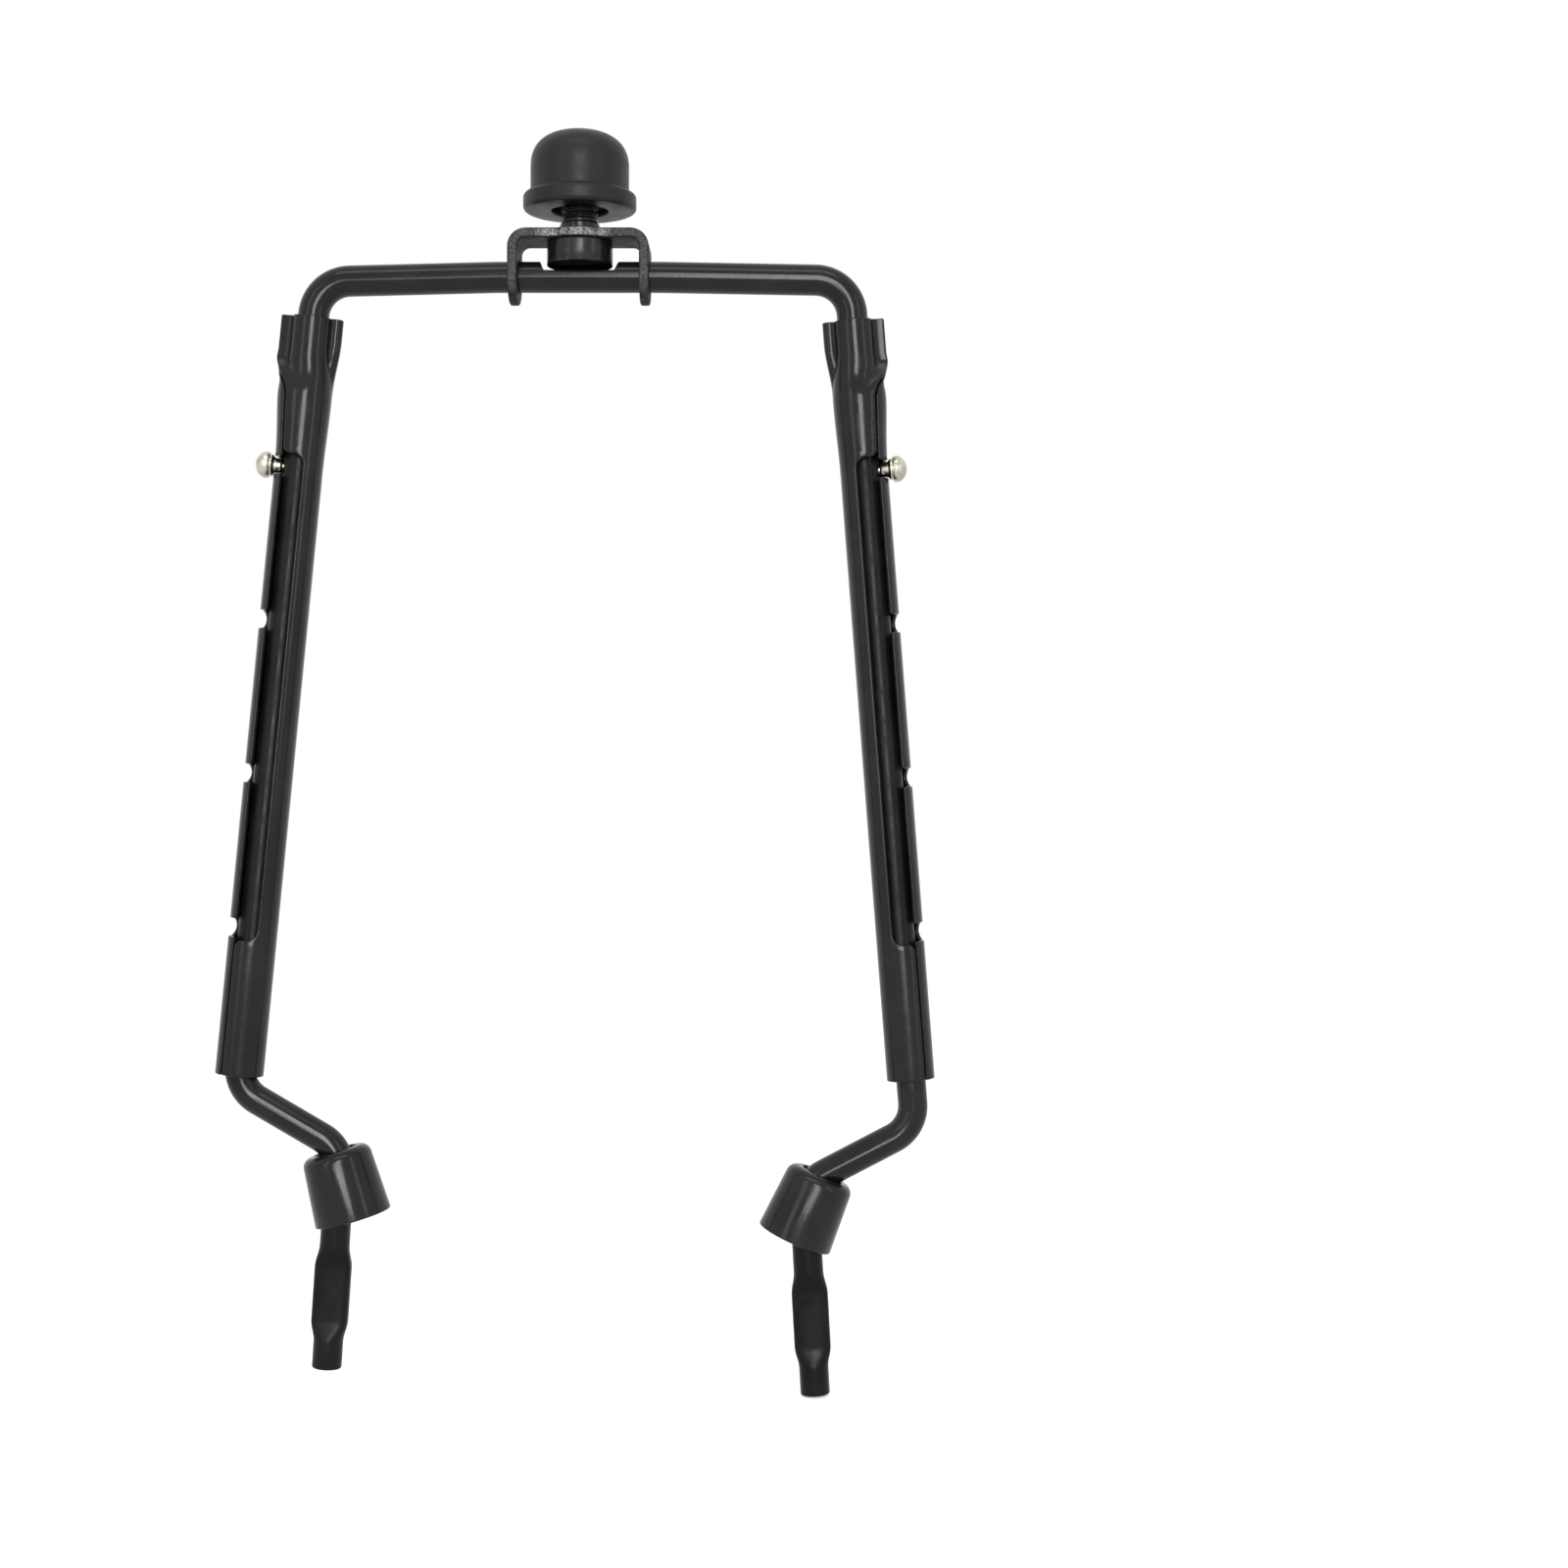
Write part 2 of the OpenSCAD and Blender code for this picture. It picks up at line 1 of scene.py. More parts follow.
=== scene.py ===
"""Lamp harp, dressed for the camera: a bent wire bow, two rolled and slotted sleeves, two bent legs
with their locking pins, two loose ferrules, a shade bracket, its threaded stud and a finial knob.

Shapes are worked out in millimetres, as in the part, and turned into metres when a mesh is made.
A point of a side is [distance outwards from the stud, height above the bar's axis]."""
import math
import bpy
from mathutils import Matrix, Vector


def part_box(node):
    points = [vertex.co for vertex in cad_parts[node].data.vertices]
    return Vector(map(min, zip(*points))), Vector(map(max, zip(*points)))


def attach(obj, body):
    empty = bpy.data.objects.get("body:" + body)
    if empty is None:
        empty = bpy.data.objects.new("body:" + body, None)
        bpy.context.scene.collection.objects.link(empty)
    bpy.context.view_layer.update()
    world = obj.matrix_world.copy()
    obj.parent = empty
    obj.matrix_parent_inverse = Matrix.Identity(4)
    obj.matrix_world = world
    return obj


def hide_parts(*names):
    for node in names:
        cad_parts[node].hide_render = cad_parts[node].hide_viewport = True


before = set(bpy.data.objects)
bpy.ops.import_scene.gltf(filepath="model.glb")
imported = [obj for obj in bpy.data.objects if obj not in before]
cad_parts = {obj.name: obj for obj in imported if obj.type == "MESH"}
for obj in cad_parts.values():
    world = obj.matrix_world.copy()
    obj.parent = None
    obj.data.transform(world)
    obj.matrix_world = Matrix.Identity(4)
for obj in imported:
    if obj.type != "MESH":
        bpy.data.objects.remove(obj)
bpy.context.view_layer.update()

from types import SimpleNamespace

import bmesh
import bpy
import numpy as np
from mathutils import Vector
from mathutils.geometry import delaunay_2d_cdt

MM = 0.001
FULL_TURN = 2 * math.pi
SHARP_ANGLE = math.radians(42)

# Wire bow
WIRE_D = 5.1
CORNER_BEND = 6.1
WIRE_GRIP = 12
SEAT_LEN = 11.6
SEAT_H = 0.75
SEAT_RUN_OUT = 0.9
SEAT_RUN_PAST = 0.8
SEAT_STEPS = 6
LEVEL_LEN = 27
LEVEL_BEND = 60

# Sleeves
TUBE_LEN = 125.2
TUBE_OD = 7.9
TUBE_WALL = 0.7
CRIMP_LEN = 6.6
BLEND_LEN = 6.8
OUTER_WING = 5.35
INNER_WING = 5.0
SEAM_GAP = 0.35
SEAM_ANGLE = math.radians(37)
COLLAR = 0.3
COLLAR_LEN = 12
FOLD_ANGLE = math.radians(250)
SHEET_EDGE = 0.16

# The pinched tops: how the sheet lies round the wire and runs out into the round
PINCH_SLACK = 0.02
FOLD_PUFF = 0.32
KNEE_SHARE = 0.95
SOFT_MIDDLE = 0.5
SOFT_OUTER = 0.6
SOFT_REACH = 2
EARLY_SHARE = 0.45
EARLY_POWER = 3
FALL_POWER = 0.9
SWELL = 0.4
SWELL_LEN = 17
SWELL_LEAD = 1
SWELL_POWER = 0.6

# Slots and notches
SLOT_W = 3.9
SETTINGS = 4
NOTCH_PITCH = 25.4
NOTCH_H = 3
NOTCH_DROP = 24.8
NOTCH_PAST = math.radians(122)
SHEET_CORNER = 0.25
SLOT_MOUTH = 1.2
SLOT_SPARE = 0.12
NOTCH_SPARE = 0.01

# Locking pins
PIN_HEAD_D = 4.4
PIN_HEAD_H = 2.6
PIN_GAP = 0.5
PIN_NECK_D = 2.6
PIN_ROOT_D = 1.4
PIN_DEPTH = 1.6
PIN_COLLAR = 0.5
PIN_RIM = 0.8

# Legs and feet
ROD_D = 4.9
ROD_ABOVE = 6
ROD_EDGE = 0.35
LEG_BEND = 6
TIP_D = 4.85
TIP_LEN = 4.4
FLAT_W = 6
FLAT_T = 3.2
FLAT_LEN = 15.8
FLAT_BLEND = 3.6
FLAT_POWER = 3.5
FLAT_STEPS = 12

# Ferrules
FERRULE_TOP_D = 11.2
FERRULE_MOUTH_D = 12.7
FERRULE_H = 11.5
FERRULE_WALL = 0.5
LIP_SPARE = 0.02
FERRULE_SHOULDER = 1.7
FERRULE_HOLE = 6.9

# Shade bracket
BRACKET_W = 23.1
BRACKET_DEPTH = 9.2
BRACKET_T = 1.6
BRACKET_H = 7.3
BRACKET_BEND = 3
LAND_D = 11.5
SWIVEL_GAP = 0.1
BRACKET_EDGE = 0.38

# Finial stud
STUD_D = 6.1
STUD_H = 9.9
SHOULDER_D = 6.5
SHOULDER_H = 1.3
HEAD_D = 10.8
HEAD_EDGE = 3.8
HEAD_DOME = 0.3
THREAD_PITCH = 0.94
THREAD_DEPTH = 0.4
THREAD_FLANK = 2.5
THREAD_CREST = 1.25
THREAD_ROWS = 14
HEAD_ROUND = 0.35
STUD_CHAMFER = 0.4

# Finial knob
KNOB_D = 16.2
FLANGE_D = 18.6
FLANGE_H = 2.9
KNOB_SIDE = 4.2
CROWN_H = 6.1
CROWN_POWER = 2.5
KNOB_LIFT = 3.5
THREAD_GAP = 0.05
RECESS_D = 9.4
RECESS_H = 1.5
BORE_SPARE = 0.4

# The stud's axis and the bar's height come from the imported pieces
knob_low, knob_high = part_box("finial_knob")
STUD_X = (knob_low[0] + knob_high[0]) / 2 / MM
BAR_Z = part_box("top_bow")[1][2] / MM - WIRE_D / 2


# Places

def unit(v):
    return v / np.linalg.norm(v)


def turned(v, angle):
    """v turned counterclockwise."""
    c, s = math.cos(angle), math.sin(angle)
    return np.array([v[0] * c - v[1] * s, v[0] * s + v[1] * c])


def angle_of(v):
    return math.atan2(v[1], v[0])


def make_side(sign, corner, bow_fall, tilt, drop, run, slant, fall, foot_len, foot_lean, ferrule_tilt,
              hole_share):
    """The places and directions of one side of the harp."""
    tilt, fall, lean = math.radians(tilt), math.radians(fall), math.radians(foot_lean)
    s = SimpleNamespace(sign=sign)
    s.down_tube = np.array([math.sin(tilt), -math.cos(tilt)])
    s.down_slant = np.array([-math.cos(fall), -math.sin(fall)])
    s.down_foot = np.array([math.sin(lean), -math.cos(lean)])
    s.corner = np.array([corner, -bow_fall])
    s.tube_top = s.corner + drop * s.down_tube
    s.tube_end = s.tube_top + TUBE_LEN * s.down_tube
    s.pin = s.tube_top + NOTCH_DROP * s.down_tube
    s.leg_top = s.pin - ROD_ABOVE * s.down_tube
    s.first_bend = s.tube_end + run * s.down_tube
    s.second_bend = s.first_bend + slant * s.down_slant
    s.foot_tip = s.second_bend + foot_len * s.down_foot
    turn = math.pi / 2 - fall + lean
    centre = s.second_bend + unit(unit(-s.down_slant) + s.down_foot) * LEG_BEND / math.cos(turn / 2)
    start = s.second_bend - LEG_BEND * math.tan(turn / 2) * s.down_slant
    s.ferrule = centre + turned(start - centre, turn * hole_share)
    s.ferrule_up = np.array([math.sin(math.radians(ferrule_tilt)), math.cos(math.radians(ferrule_tilt))])
    return s


LEFT = make_side(-1, corner=43.3, bow_fall=0.75, tilt=5.6, drop=5.95, run=2.3, slant=19.7, fall=30.4,
                 foot_len=36.1, foot_lean=3.8, ferrule_tilt=15.2, hole_share=0.5)
RIGHT = make_side(1, corner=44.4, bow_fall=0.55, tilt=4.4, drop=6.7, run=7.9, slant=20.6, fall=27.5,
                  foot_len=34.5, foot_lean=3.2, ferrule_tilt=23.5, hole_share=0.08)
UP = np.array([0.0, 1.0])


def place(side, base, axis, points):
    """Local points to the part's millimetres: z runs along the axis from the base, y is the depth."""
    points = np.asarray(points, dtype=float)
    across = turned(axis, -math.pi / 2)
    flat = np.asarray(base) + points[:, [2]] * axis + points[:, [0]] * across
    return np.column_stack([STUD_X + side.sign * flat[:, 0], points[:, 1], BAR_Z + flat[:, 1]])


# Easing

def eased(a, b, f):
    """From a to b along a half wave, as f goes from 0 to 1."""
    return a + (b - a) * (1 - math.cos(math.pi * f)) / 2


def smooth(f):
    """A share from 0 to 1, eased at both ends."""
    return f ** 2 * (3 - 2 * f)


# Outlines

SAME_POINT = 1e-4
NEVER_ZERO = 1e-30


def rounded(corners, closed=True, steps=8):
    """The points of an outline given as corners (x, y, radius)."""
    points = []
    last = len(corners) - 1
    for i, (x, y, r) in enumerate(corners):
        here = np.array([x, y], dtype=float)
        if r == 0 or (not closed and i in (0, last)):
            points.append(here)
            continue
        u = unit(here - np.array(corners[i - 1][:2]))
        v = unit(np.array(corners[(i + 1) % (last + 1)][:2]) - here)
        hand = 1 if u[0] * v[1] - u[1] * v[0] > 0 else -1
        turn = math.acos(max(-1.0, min(1.0, float(u @ v))))
        start = here - u * r * math.tan(turn / 2)
        centre = start + hand * r * turned(u, math.pi / 2)
        points += [centre + turned(start - centre, hand * turn * k / steps) for k in range(steps + 1)]
    kept = [points[0]]
    for p in points[1:]:
        if np.linalg.norm(p - kept[-1]) > SAME_POINT:
            kept.append(p)
    if closed and np.linalg.norm(kept[0] - kept[-1]) < SAME_POINT:
        kept.pop()
    return np.array(kept)


def arc(centre, radius, start, end, steps):
    """Points of an arc, angles in radians."""
    angles = np.linspace(start, end, steps + 1)
    return np.column_stack([centre[0] + radius * np.cos(angles), centre[1] + radius * np.sin(angles)])


def divided(points, longest):
    """A closed outline whose long edges are split, so that it can be bent."""
    out = []
    for a, b in zip(points, np.roll(points, -1, axis=0)):
        parts = max(1, math.ceil(np.linalg.norm(b - a) / longest(a, b)))
        out += [a + (b - a) * k / parts for k in range(parts)]
    return np.array(out)


def inset(points, distance):
    """A closed outline moved to its left."""
    u = points - np.roll(points, 1, axis=0)
    u /= np.linalg.norm(u, axis=1)[:, None]
    v = np.roll(u, -1, axis=0)
    left = np.column_stack([-(u + v)[:, 1], (u + v)[:, 0]])
    return points + distance * left / (1 + (u * v).sum(axis=1))[:, None]


def inside(points, loops):
    """Which points lie inside an odd number of closed loops."""
    odd = np.zeros(len(points), dtype=bool)
    for loop in loops:
        for a, b in zip(loop, np.roll(loop, -1, axis=0)):
            crosses = (a[1] > points[:, 1]) != (b[1] > points[:, 1])
            if crosses.any():
                x = a[0] + (points[:, 1] - a[1]) * (b[0] - a[0]) / (b[1] - a[1] + NEVER_ZERO)
                odd ^= crosses & (points[:, 0] < x)
    return odd


def nearest(points, loop):
    """The distance from each point to a closed loop."""
    best = np.full(len(points), np.inf)
    for a, b in zip(loop, np.roll(loop, -1, axis=0)):
        f = np.clip(((points - a) @ (b - a)) / ((b - a) @ (b - a)), 0, 1)
        best = np.minimum(best, np.linalg.norm(points - a - f[:, None] * (b - a), axis=1))
    return best


# Meshes

def make_piece(name, points, faces, body, node, material):
    """A smooth mesh piece that rides on a body and stands for a node of the part."""
    mesh = bpy.data.meshes.new(name)
    mesh.from_pydata((np.asarray(points) * MM).tolist(), [], faces)
    bm = bmesh.new()
    bm.from_mesh(mesh)
    bmesh.ops.recalc_face_normals(bm, faces=bm.faces)
    bm.to_mesh(mesh)
    bm.free()
    mesh.shade_smooth()
    mesh.set_sharp_from_angle(angle=SHARP_ANGLE)
    mesh.materials.append(material)
    piece = bpy.data.objects.new(name, mesh)
    bpy.context.scene.collection.objects.link(piece)
    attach(piece, body)
    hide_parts(node)
    return piece


def ring_faces(rings, sides, closed_ends=True):
    """The faces between rings of points that follow one another."""
    faces = [
        (k * sides + i, k * sides + (i + 1) % sides, (k + 1) * sides + (i + 1) % sides, (k + 1) * sides + i)
        for k in range(rings - 1) for i in range(sides)
    ]
    if closed_ends:
        faces.append(tuple(range(sides)))
        faces.append(tuple((rings - 1) * sides + i for i in range(sides)))
    return faces


def revolve(profile, sides=96, wave=None):
    """A body of revolution about z from (radius, height) points; a closed profile makes a ring."""
    closed = profile[0][0] > 0
    spin = np.linspace(0, 2 * math.pi, sides, endpoint=False)
    points = []
    for r, z in profile:
        radius = np.full(sides, r) if wave is None else r - wave(z, spin)
        points.append(np.column_stack([radius * np.cos(spin), radius * np.sin(spin), np.full(sides, z)]))
    rings = len(profile)
    if closed:
        faces = ring_faces(rings, sides, closed_ends=False)
        last = (rings - 1) * sides
        faces += [(last + i, last + (i + 1) % sides, (i + 1) % sides, i) for i in range(sides)]
        return np.vstack(points), faces
    body = np.vstack(points[1:-1])
    faces = ring_faces(rings - 2, sides, closed_ends=False)
    poles = np.array([[0, 0, profile[0][1]], [0, 0, profile[-1][1]]])
    low, high = len(body), len(body) + 1
    last = (rings - 3) * sides
    faces += [(low, (i + 1) % sides, i) for i in range(sides)]
    faces += [(high, last + i, last + (i + 1) % sides) for i in range(sides)]
    return np.vstack([body, poles]), faces


def signed_pow(x, power):
    return np.sign(x) * np.abs(x) ** power


def section(at, angle, w, t, power=2, top=None):
    """A cut across a rod: place, angle of its run, full width and thickness, squareness, flat top."""
    return at, angle, w / 2, t / 2, power, top


def sweep(side, sections, sides=48):
    """A rod through its sections in the XZ plane."""
    spin = np.linspace(0, 2 * math.pi, sides, endpoint=False)
    points = []
    for at, angle, w, t, power, top in sections:
        across = w * signed_pow(np.cos(spin), 2 / power)
        if top is not None:
            across = np.minimum(across, top)
        deep = t * signed_pow(np.sin(spin), 2 / power)
        points.append(np.column_stack([
            STUD_X + side.sign * (at[0] - across * math.sin(angle)),
            deep,
            BAR_Z + at[1] + across * math.cos(angle),
        ]))
    return np.vstack(points), ring_faces(len(sections), sides)


def bend(before, at, after, d, r, steps=20):
    """The sections of a round bend at the middle one of three points."""
    u, v = unit(at - before), unit(after - at)
    hand = 1 if u[0] * v[1] - u[1] * v[0] > 0 else -1
    turn = math.acos(float(u @ v))
    start = at - u * r * math.tan(turn / 2)
    centre = start + hand * r * turned(u, math.pi / 2)
    return [
        section(centre + turned(start - centre, hand * turn * i / steps),
                angle_of(u) + hand * turn * i / steps, d, d)
        for i in range(steps + 1)
    ]


def rod_end(at, way, d, edge, steps=4):
    """The sections that round off the start of a rod at a point, which then runs the given way."""
    return [
        section(at + edge * (1 - math.sin(a)) * way, angle_of(way),
                d - 2 * edge * (1 - math.cos(a)), d - 2 * edge * (1 - math.cos(a)))
        for a in np.linspace(math.pi / 2, 0, steps + 1)
    ]


def sheet(outlines, inner, middle, thickness, edge):
    """A bent sheet with rounded edges.

    The outlines are closed and keep the sheet on their left; inner holds the points that may be used
    between them; middle turns flat points into points on the sheet's middle surface."""
    steps = (0, 0.15, 0.5, 1)
    tolerance = 1e-7
    loops = [inset(outline, edge * step) for outline in outlines for step in steps]
    lift = [thickness / 2 - edge + edge * math.sqrt(1 - (1 - step) ** 2) for step in steps]
    height = np.concatenate([np.full(len(loop), lift[k % len(steps)]) for k, loop in enumerate(loops)])
    inner = inner[inside(inner, outlines)]
    for loop in loops[len(steps) - 1::len(steps)]:
        inner = inner[nearest(inner, loop) > edge]
    for outline in outlines:
        inner = inner[nearest(inner, outline) > 2 * edge]
    flat = np.vstack(loops + [inner])
    height = np.concatenate([height, np.full(len(inner), thickness / 2)])
    edges, start = [], 0
    for loop in loops:
        count = len(loop)
        edges += [(start + i, start + (i + 1) % count) for i in range(count)]
        start += count
    made, _, faces, sources, _, _ = delaunay_2d_cdt([Vector(p) for p in flat], edges, [], 0, tolerance)
    flat = np.array([p[:] for p in made])
    height = np.array([height[s[0]] if s else thickness / 2 for s in sources])
    faces = np.array([f[:] for f in faces])
    faces = faces[inside(flat[faces].mean(axis=1), outlines)]

    nudge = 0.01
    along = middle(flat + [nudge, 0]) - middle(flat - [nudge, 0])
    up = middle(flat + [0, nudge]) - middle(flat - [0, nudge])
    normal = np.cross(along, up)
    normal /= np.linalg.norm(normal, axis=1)[:, None]
    centre = middle(flat)
    points = np.vstack([centre + normal * height[:, None], centre - normal * height[:, None]])
    count = len(flat)
    own = {s[0]: i for i, s in enumerate(sources) if s}
    solid = faces.tolist() + (faces[:, ::-1] + count).tolist()
    start = 0
    for k, loop in enumerate(loops):
        if k % len(steps) == 0:
            rim = [own[start + i] for i in range(len(loop))]
            solid += [(a, a + count, b + count, b) for a, b in zip(rim, rim[1:] + rim[:1])]
        start += len(loop)
    used = sorted({i for f in solid for i in f})
    new = {old: i for i, old in enumerate(used)}
    return points[used], [tuple(new[i] for i in f) for f in solid]


# Materials: colours are linear and noise scales are per metre

NOISE_LOW = 0.3
NOISE_HIGH = 0.7
RELIEF = 0.1

# Where a finish changes, by place on the piece; the land's span sets where the bracket's painted edge
# highlight is strongest
FOOT_FADE = (24, 34)
SLEEVE_FADE = (50, 54)
LAND_HIGHLIGHT_FADE = (6.5, 4.5)

# Where a finish changes, by how squarely the surface faces one way; the last span picks the bracket's cut
# front and back edges for its painted highlight
DOWN_FADE = (0.5, 0.9)
HIGHLIGHT_FACING_FADE = (0.75, 0.95)


def new_material(name):
    """A material, its nodes and links, and its shader."""
    material = bpy.data.materials.new(name)
    material.use_nodes = True
    nodes, links = material.node_tree.nodes, material.node_tree.links
    return material, nodes, links, nodes["Principled BSDF"]


def noise(nodes, links, scale, detail, roughness=0.5):
    """Noise over the piece's own metres."""
    where = nodes.new("ShaderNodeTexCoord")
    texture = nodes.new("ShaderNodeTexNoise")
    texture.inputs["Scale"].default_value = scale
    texture.inputs["Detail"].default_value = detail
    texture.inputs["Roughness"].default_value = roughness
    links.new(where.outputs["Object"], texture.inputs["Vector"])
    return texture.outputs["Fac"]


def ramp(nodes, links, source, low, high, colour_low, colour_high):
    """A colour ramp between two places of a value."""
    node = nodes.new("ShaderNodeValToRGB")
    node.color_ramp.elements[0].position = low
    node.color_ramp.elements[1].position = high
    node.color_ramp.elements[0].color = (*colour_low, 1)
    node.color_ramp.elements[1].color = (*colour_high, 1)
    links.new(source, node.inputs["Fac"])
    return node.outputs["Color"]


def spread(nodes, links, source, low, high):
    """The middle of a noise's range, stretched between two bounds, for roughness."""
    node = nodes.new("ShaderNodeMapRange")
    node.inputs["From Min"].default_value = NOISE_LOW
    node.inputs["From Max"].default_value = NOISE_HIGH
    node.inputs["To Min"].default_value = low
    node.inputs["To Max"].default_value = high
    links.new(source, node.inputs["Value"])
    return node.outputs["Result"]


def mixed(nodes, links, fac, a, b):
    """Colour a turning into colour b."""
    node = nodes.new("ShaderNodeMix")
    node.data_type = "RGBA"
    links.new(fac, node.inputs["Factor"])
    for socket, value in ((node.inputs["A"], a), (node.inputs["B"], b)):
        if isinstance(value, tuple):
            socket.default_value = (*value, 1)
        else:
            links.new(value, socket)
    return node.outputs["Result"]


def edges_worn(nodes, links, low, high):
    """Where an edge stands out and the finish has rubbed, broken up by noise."""
    black, white = (0, 0, 0), (1, 1, 1)
    geometry = nodes.new("ShaderNodeNewGeometry")
    edge = ramp(nodes, links, geometry.outputs["Pointiness"], low, high, black, white)
    patches = ramp(nodes, links, noise(nodes, links, scale=900, detail=4), 0.42, 0.62, black, white)
    return worked(nodes, links, "MULTIPLY", edge, patches)


def bumped(nodes, links, shader, source, strength):
    """A fine relief in the finish."""
    bump = nodes.new("ShaderNodeBump")
    bump.inputs["Strength"].default_value = strength
    bump.inputs["Distance"].default_value = RELIEF * MM
    links.new(source, bump.inputs["Height"])
    links.new(bump.outputs["Normal"], shader.inputs["Normal"])


def coordinate(nodes, links, kind, axis):
    """One axis of the place on the piece (Object) or of the way that its surface faces (Normal)."""
    where = nodes.new("ShaderNodeTexCoord")
    parts = nodes.new("ShaderNodeSeparateXYZ")
    links.new(where.outputs[kind], parts.inputs["Vector"])
    return parts.outputs[axis]


def between(nodes, links, source, low, high):
    """A mask that is 0 at one value of its source and 1 at the other."""
    node = nodes.new("ShaderNodeMapRange")
    node.inputs["From Min"].default_value = low
    node.inputs["From Max"].default_value = high
    links.new(source, node.inputs["Value"])
    return node.outputs["Result"]


def scaled(nodes, links, fac, at_zero, at_one):
    """A value that goes from one bound to the other as a mask goes from 0 to 1."""
    node = nodes.new("ShaderNodeMapRange")
    node.inputs["To Min"].default_value = at_zero
    node.inputs["To Max"].default_value = at_one
    links.new(fac, node.inputs["Value"])
    return node.outputs["Result"]


def worked(nodes, links, operation, a, b):
    """Two values put together."""
    node = nodes.new("ShaderNodeMath")
    node.operation = operation
    for socket, value in zip(node.inputs, (a, b)):
        if isinstance(value, (int, float)):
            socket.default_value = value
        else:
            links.new(value, socket)
    return node.outputs["Value"]


def height_mask(nodes, links, low, high):
    """0 below one height on the piece and 1 above the other, in millimetres."""
    return between(nodes, links, coordinate(nodes, links, "Object", "Z"), low * MM, high * MM)


def black_paint(name, dark, light, wear, peel):
    """Near-black paint, faintly cloudy, with rubbed edges and orange peel, whose gloss isn't set yet."""
    material, nodes, links, shader = new_material(name)
    cloud = ramp(nodes, links, noise(nodes, links, scale=140, detail=3), 0.35, 0.7, dark, light)
    worn = edges_worn(nodes, links, 0.52, 0.6)
    links.new(mixed(nodes, links, worn, cloud, wear), shader.inputs["Base Color"])
    bumped(nodes, links, shader, noise(nodes, links, scale=1300, detail=2, roughness=0.6), peel)
    return material, nodes, links, shader


def enamel(name, dark, light, wear, peel, gloss, dull, shine=0.26):
    """Black enamel on steel, with a faintly uneven gloss."""
    material, nodes, links, shader = black_paint(name, dark, light, wear, peel)
    fine = noise(nodes, links, scale=420, detail=4)
    links.new(spread(nodes, links, fine, gloss, dull), shader.inputs["Roughness"])
    shader.inputs["Specular IOR Level"].default_value = shine
    return material


def leg_enamel(name):
    """Rough and dull up inside the sleeve and on the foot, glossy where the bent part shows."""
    material, nodes, links, shader = black_paint(name, dark=(0.004, 0.004, 0.005),
                                                 light=(0.008, 0.008, 0.009),
                                                 wear=(0.02, 0.02, 0.021), peel=0.08)
    above_foot = height_mask(nodes, links, *FOOT_FADE)
    in_sleeve = height_mask(nodes, links, *SLEEVE_FADE)
    glossy = worked(nodes, links, "SUBTRACT", above_foot, in_sleeve)
    links.new(scaled(nodes, links, glossy, 0.13, 0.3), shader.inputs["Specular IOR Level"])
    fine = noise(nodes, links, scale=420, detail=4)
    rough = worked(nodes, links, "MULTIPLY", fine, scaled(nodes, links, glossy, 0.68, 0.28))
    links.new(rough, shader.inputs["Roughness"])
    return material


def stud_enamel(name):
    """The underside of the head is dull, and the rest keeps its gloss."""
    material, nodes, links, shader = black_paint(name, dark=(0.005, 0.005, 0.005),
                                                 light=(0.01, 0.01, 0.01),
                                                 wear=(0.03, 0.03, 0.03), peel=0.12)
    downwards = worked(nodes, links, "MULTIPLY", coordinate(nodes, links, "Normal", "Z"), -1.0)
    under = between(nodes, links, downwards, *DOWN_FADE)
    links.new(scaled(nodes, links, under, 0.3, 0.0), shader.inputs["Specular IOR Level"])
    fine = noise(nodes, links, scale=420, detail=4)
    uneven = worked(nodes, links, "MULTIPLY", fine, 0.5)
    rough = worked(nodes, links, "ADD", uneven, scaled(nodes, links, under, 0.0, 0.7))
    links.new(rough, shader.inputs["Roughness"])
    return material


def bracket_enamel(name):
    """Dull enamel, with a pale speckled painted highlight on its cut front and back edges, strongest on the
    land round the stud.
    """
    material = enamel(name, dark=(0.012, 0.012, 0.012), light=(0.022, 0.022, 0.022),
                      wear=(0.12, 0.12, 0.117), peel=0.3, gloss=0.5, dull=0.64, shine=0.12)
    nodes, links = material.node_tree.nodes, material.node_tree.links
    shader = nodes["Principled BSDF"]
    sideways = worked(nodes, links, "ABSOLUTE", coordinate(nodes, links, "Normal", "Y"), 0.0)
    cut = between(nodes, links, sideways, *HIGHLIGHT_FACING_FADE)
    off_middle = worked(nodes, links, "ABSOLUTE", coordinate(nodes, links, "Object", "X"), 0.0)
    land = between(nodes, links, off_middle, LAND_HIGHLIGHT_FADE[0] * MM, LAND_HIGHLIGHT_FADE[1] * MM)
    # Painted highlight: pale speckled colour on the edges that face front and back, most of it on the land
    # round the stud, stands in for the light these cut edges catch
    edge_highlight_amount = worked(nodes, links, "MULTIPLY", cut, scaled(nodes, links, land, 0.14, 0.85))
    grain = noise(nodes, links, scale=2600, detail=4, roughness=0.7)
    painted_edge_highlight = ramp(nodes, links, grain, 0.38, 0.62, (0.02, 0.02, 0.02), (0.42, 0.42, 0.41))
    base = shader.inputs["Base Color"].links[0].from_socket
    links.new(mixed(nodes, links, edge_highlight_amount, base, painted_edge_highlight), shader.inputs["Base Color"])
    return material


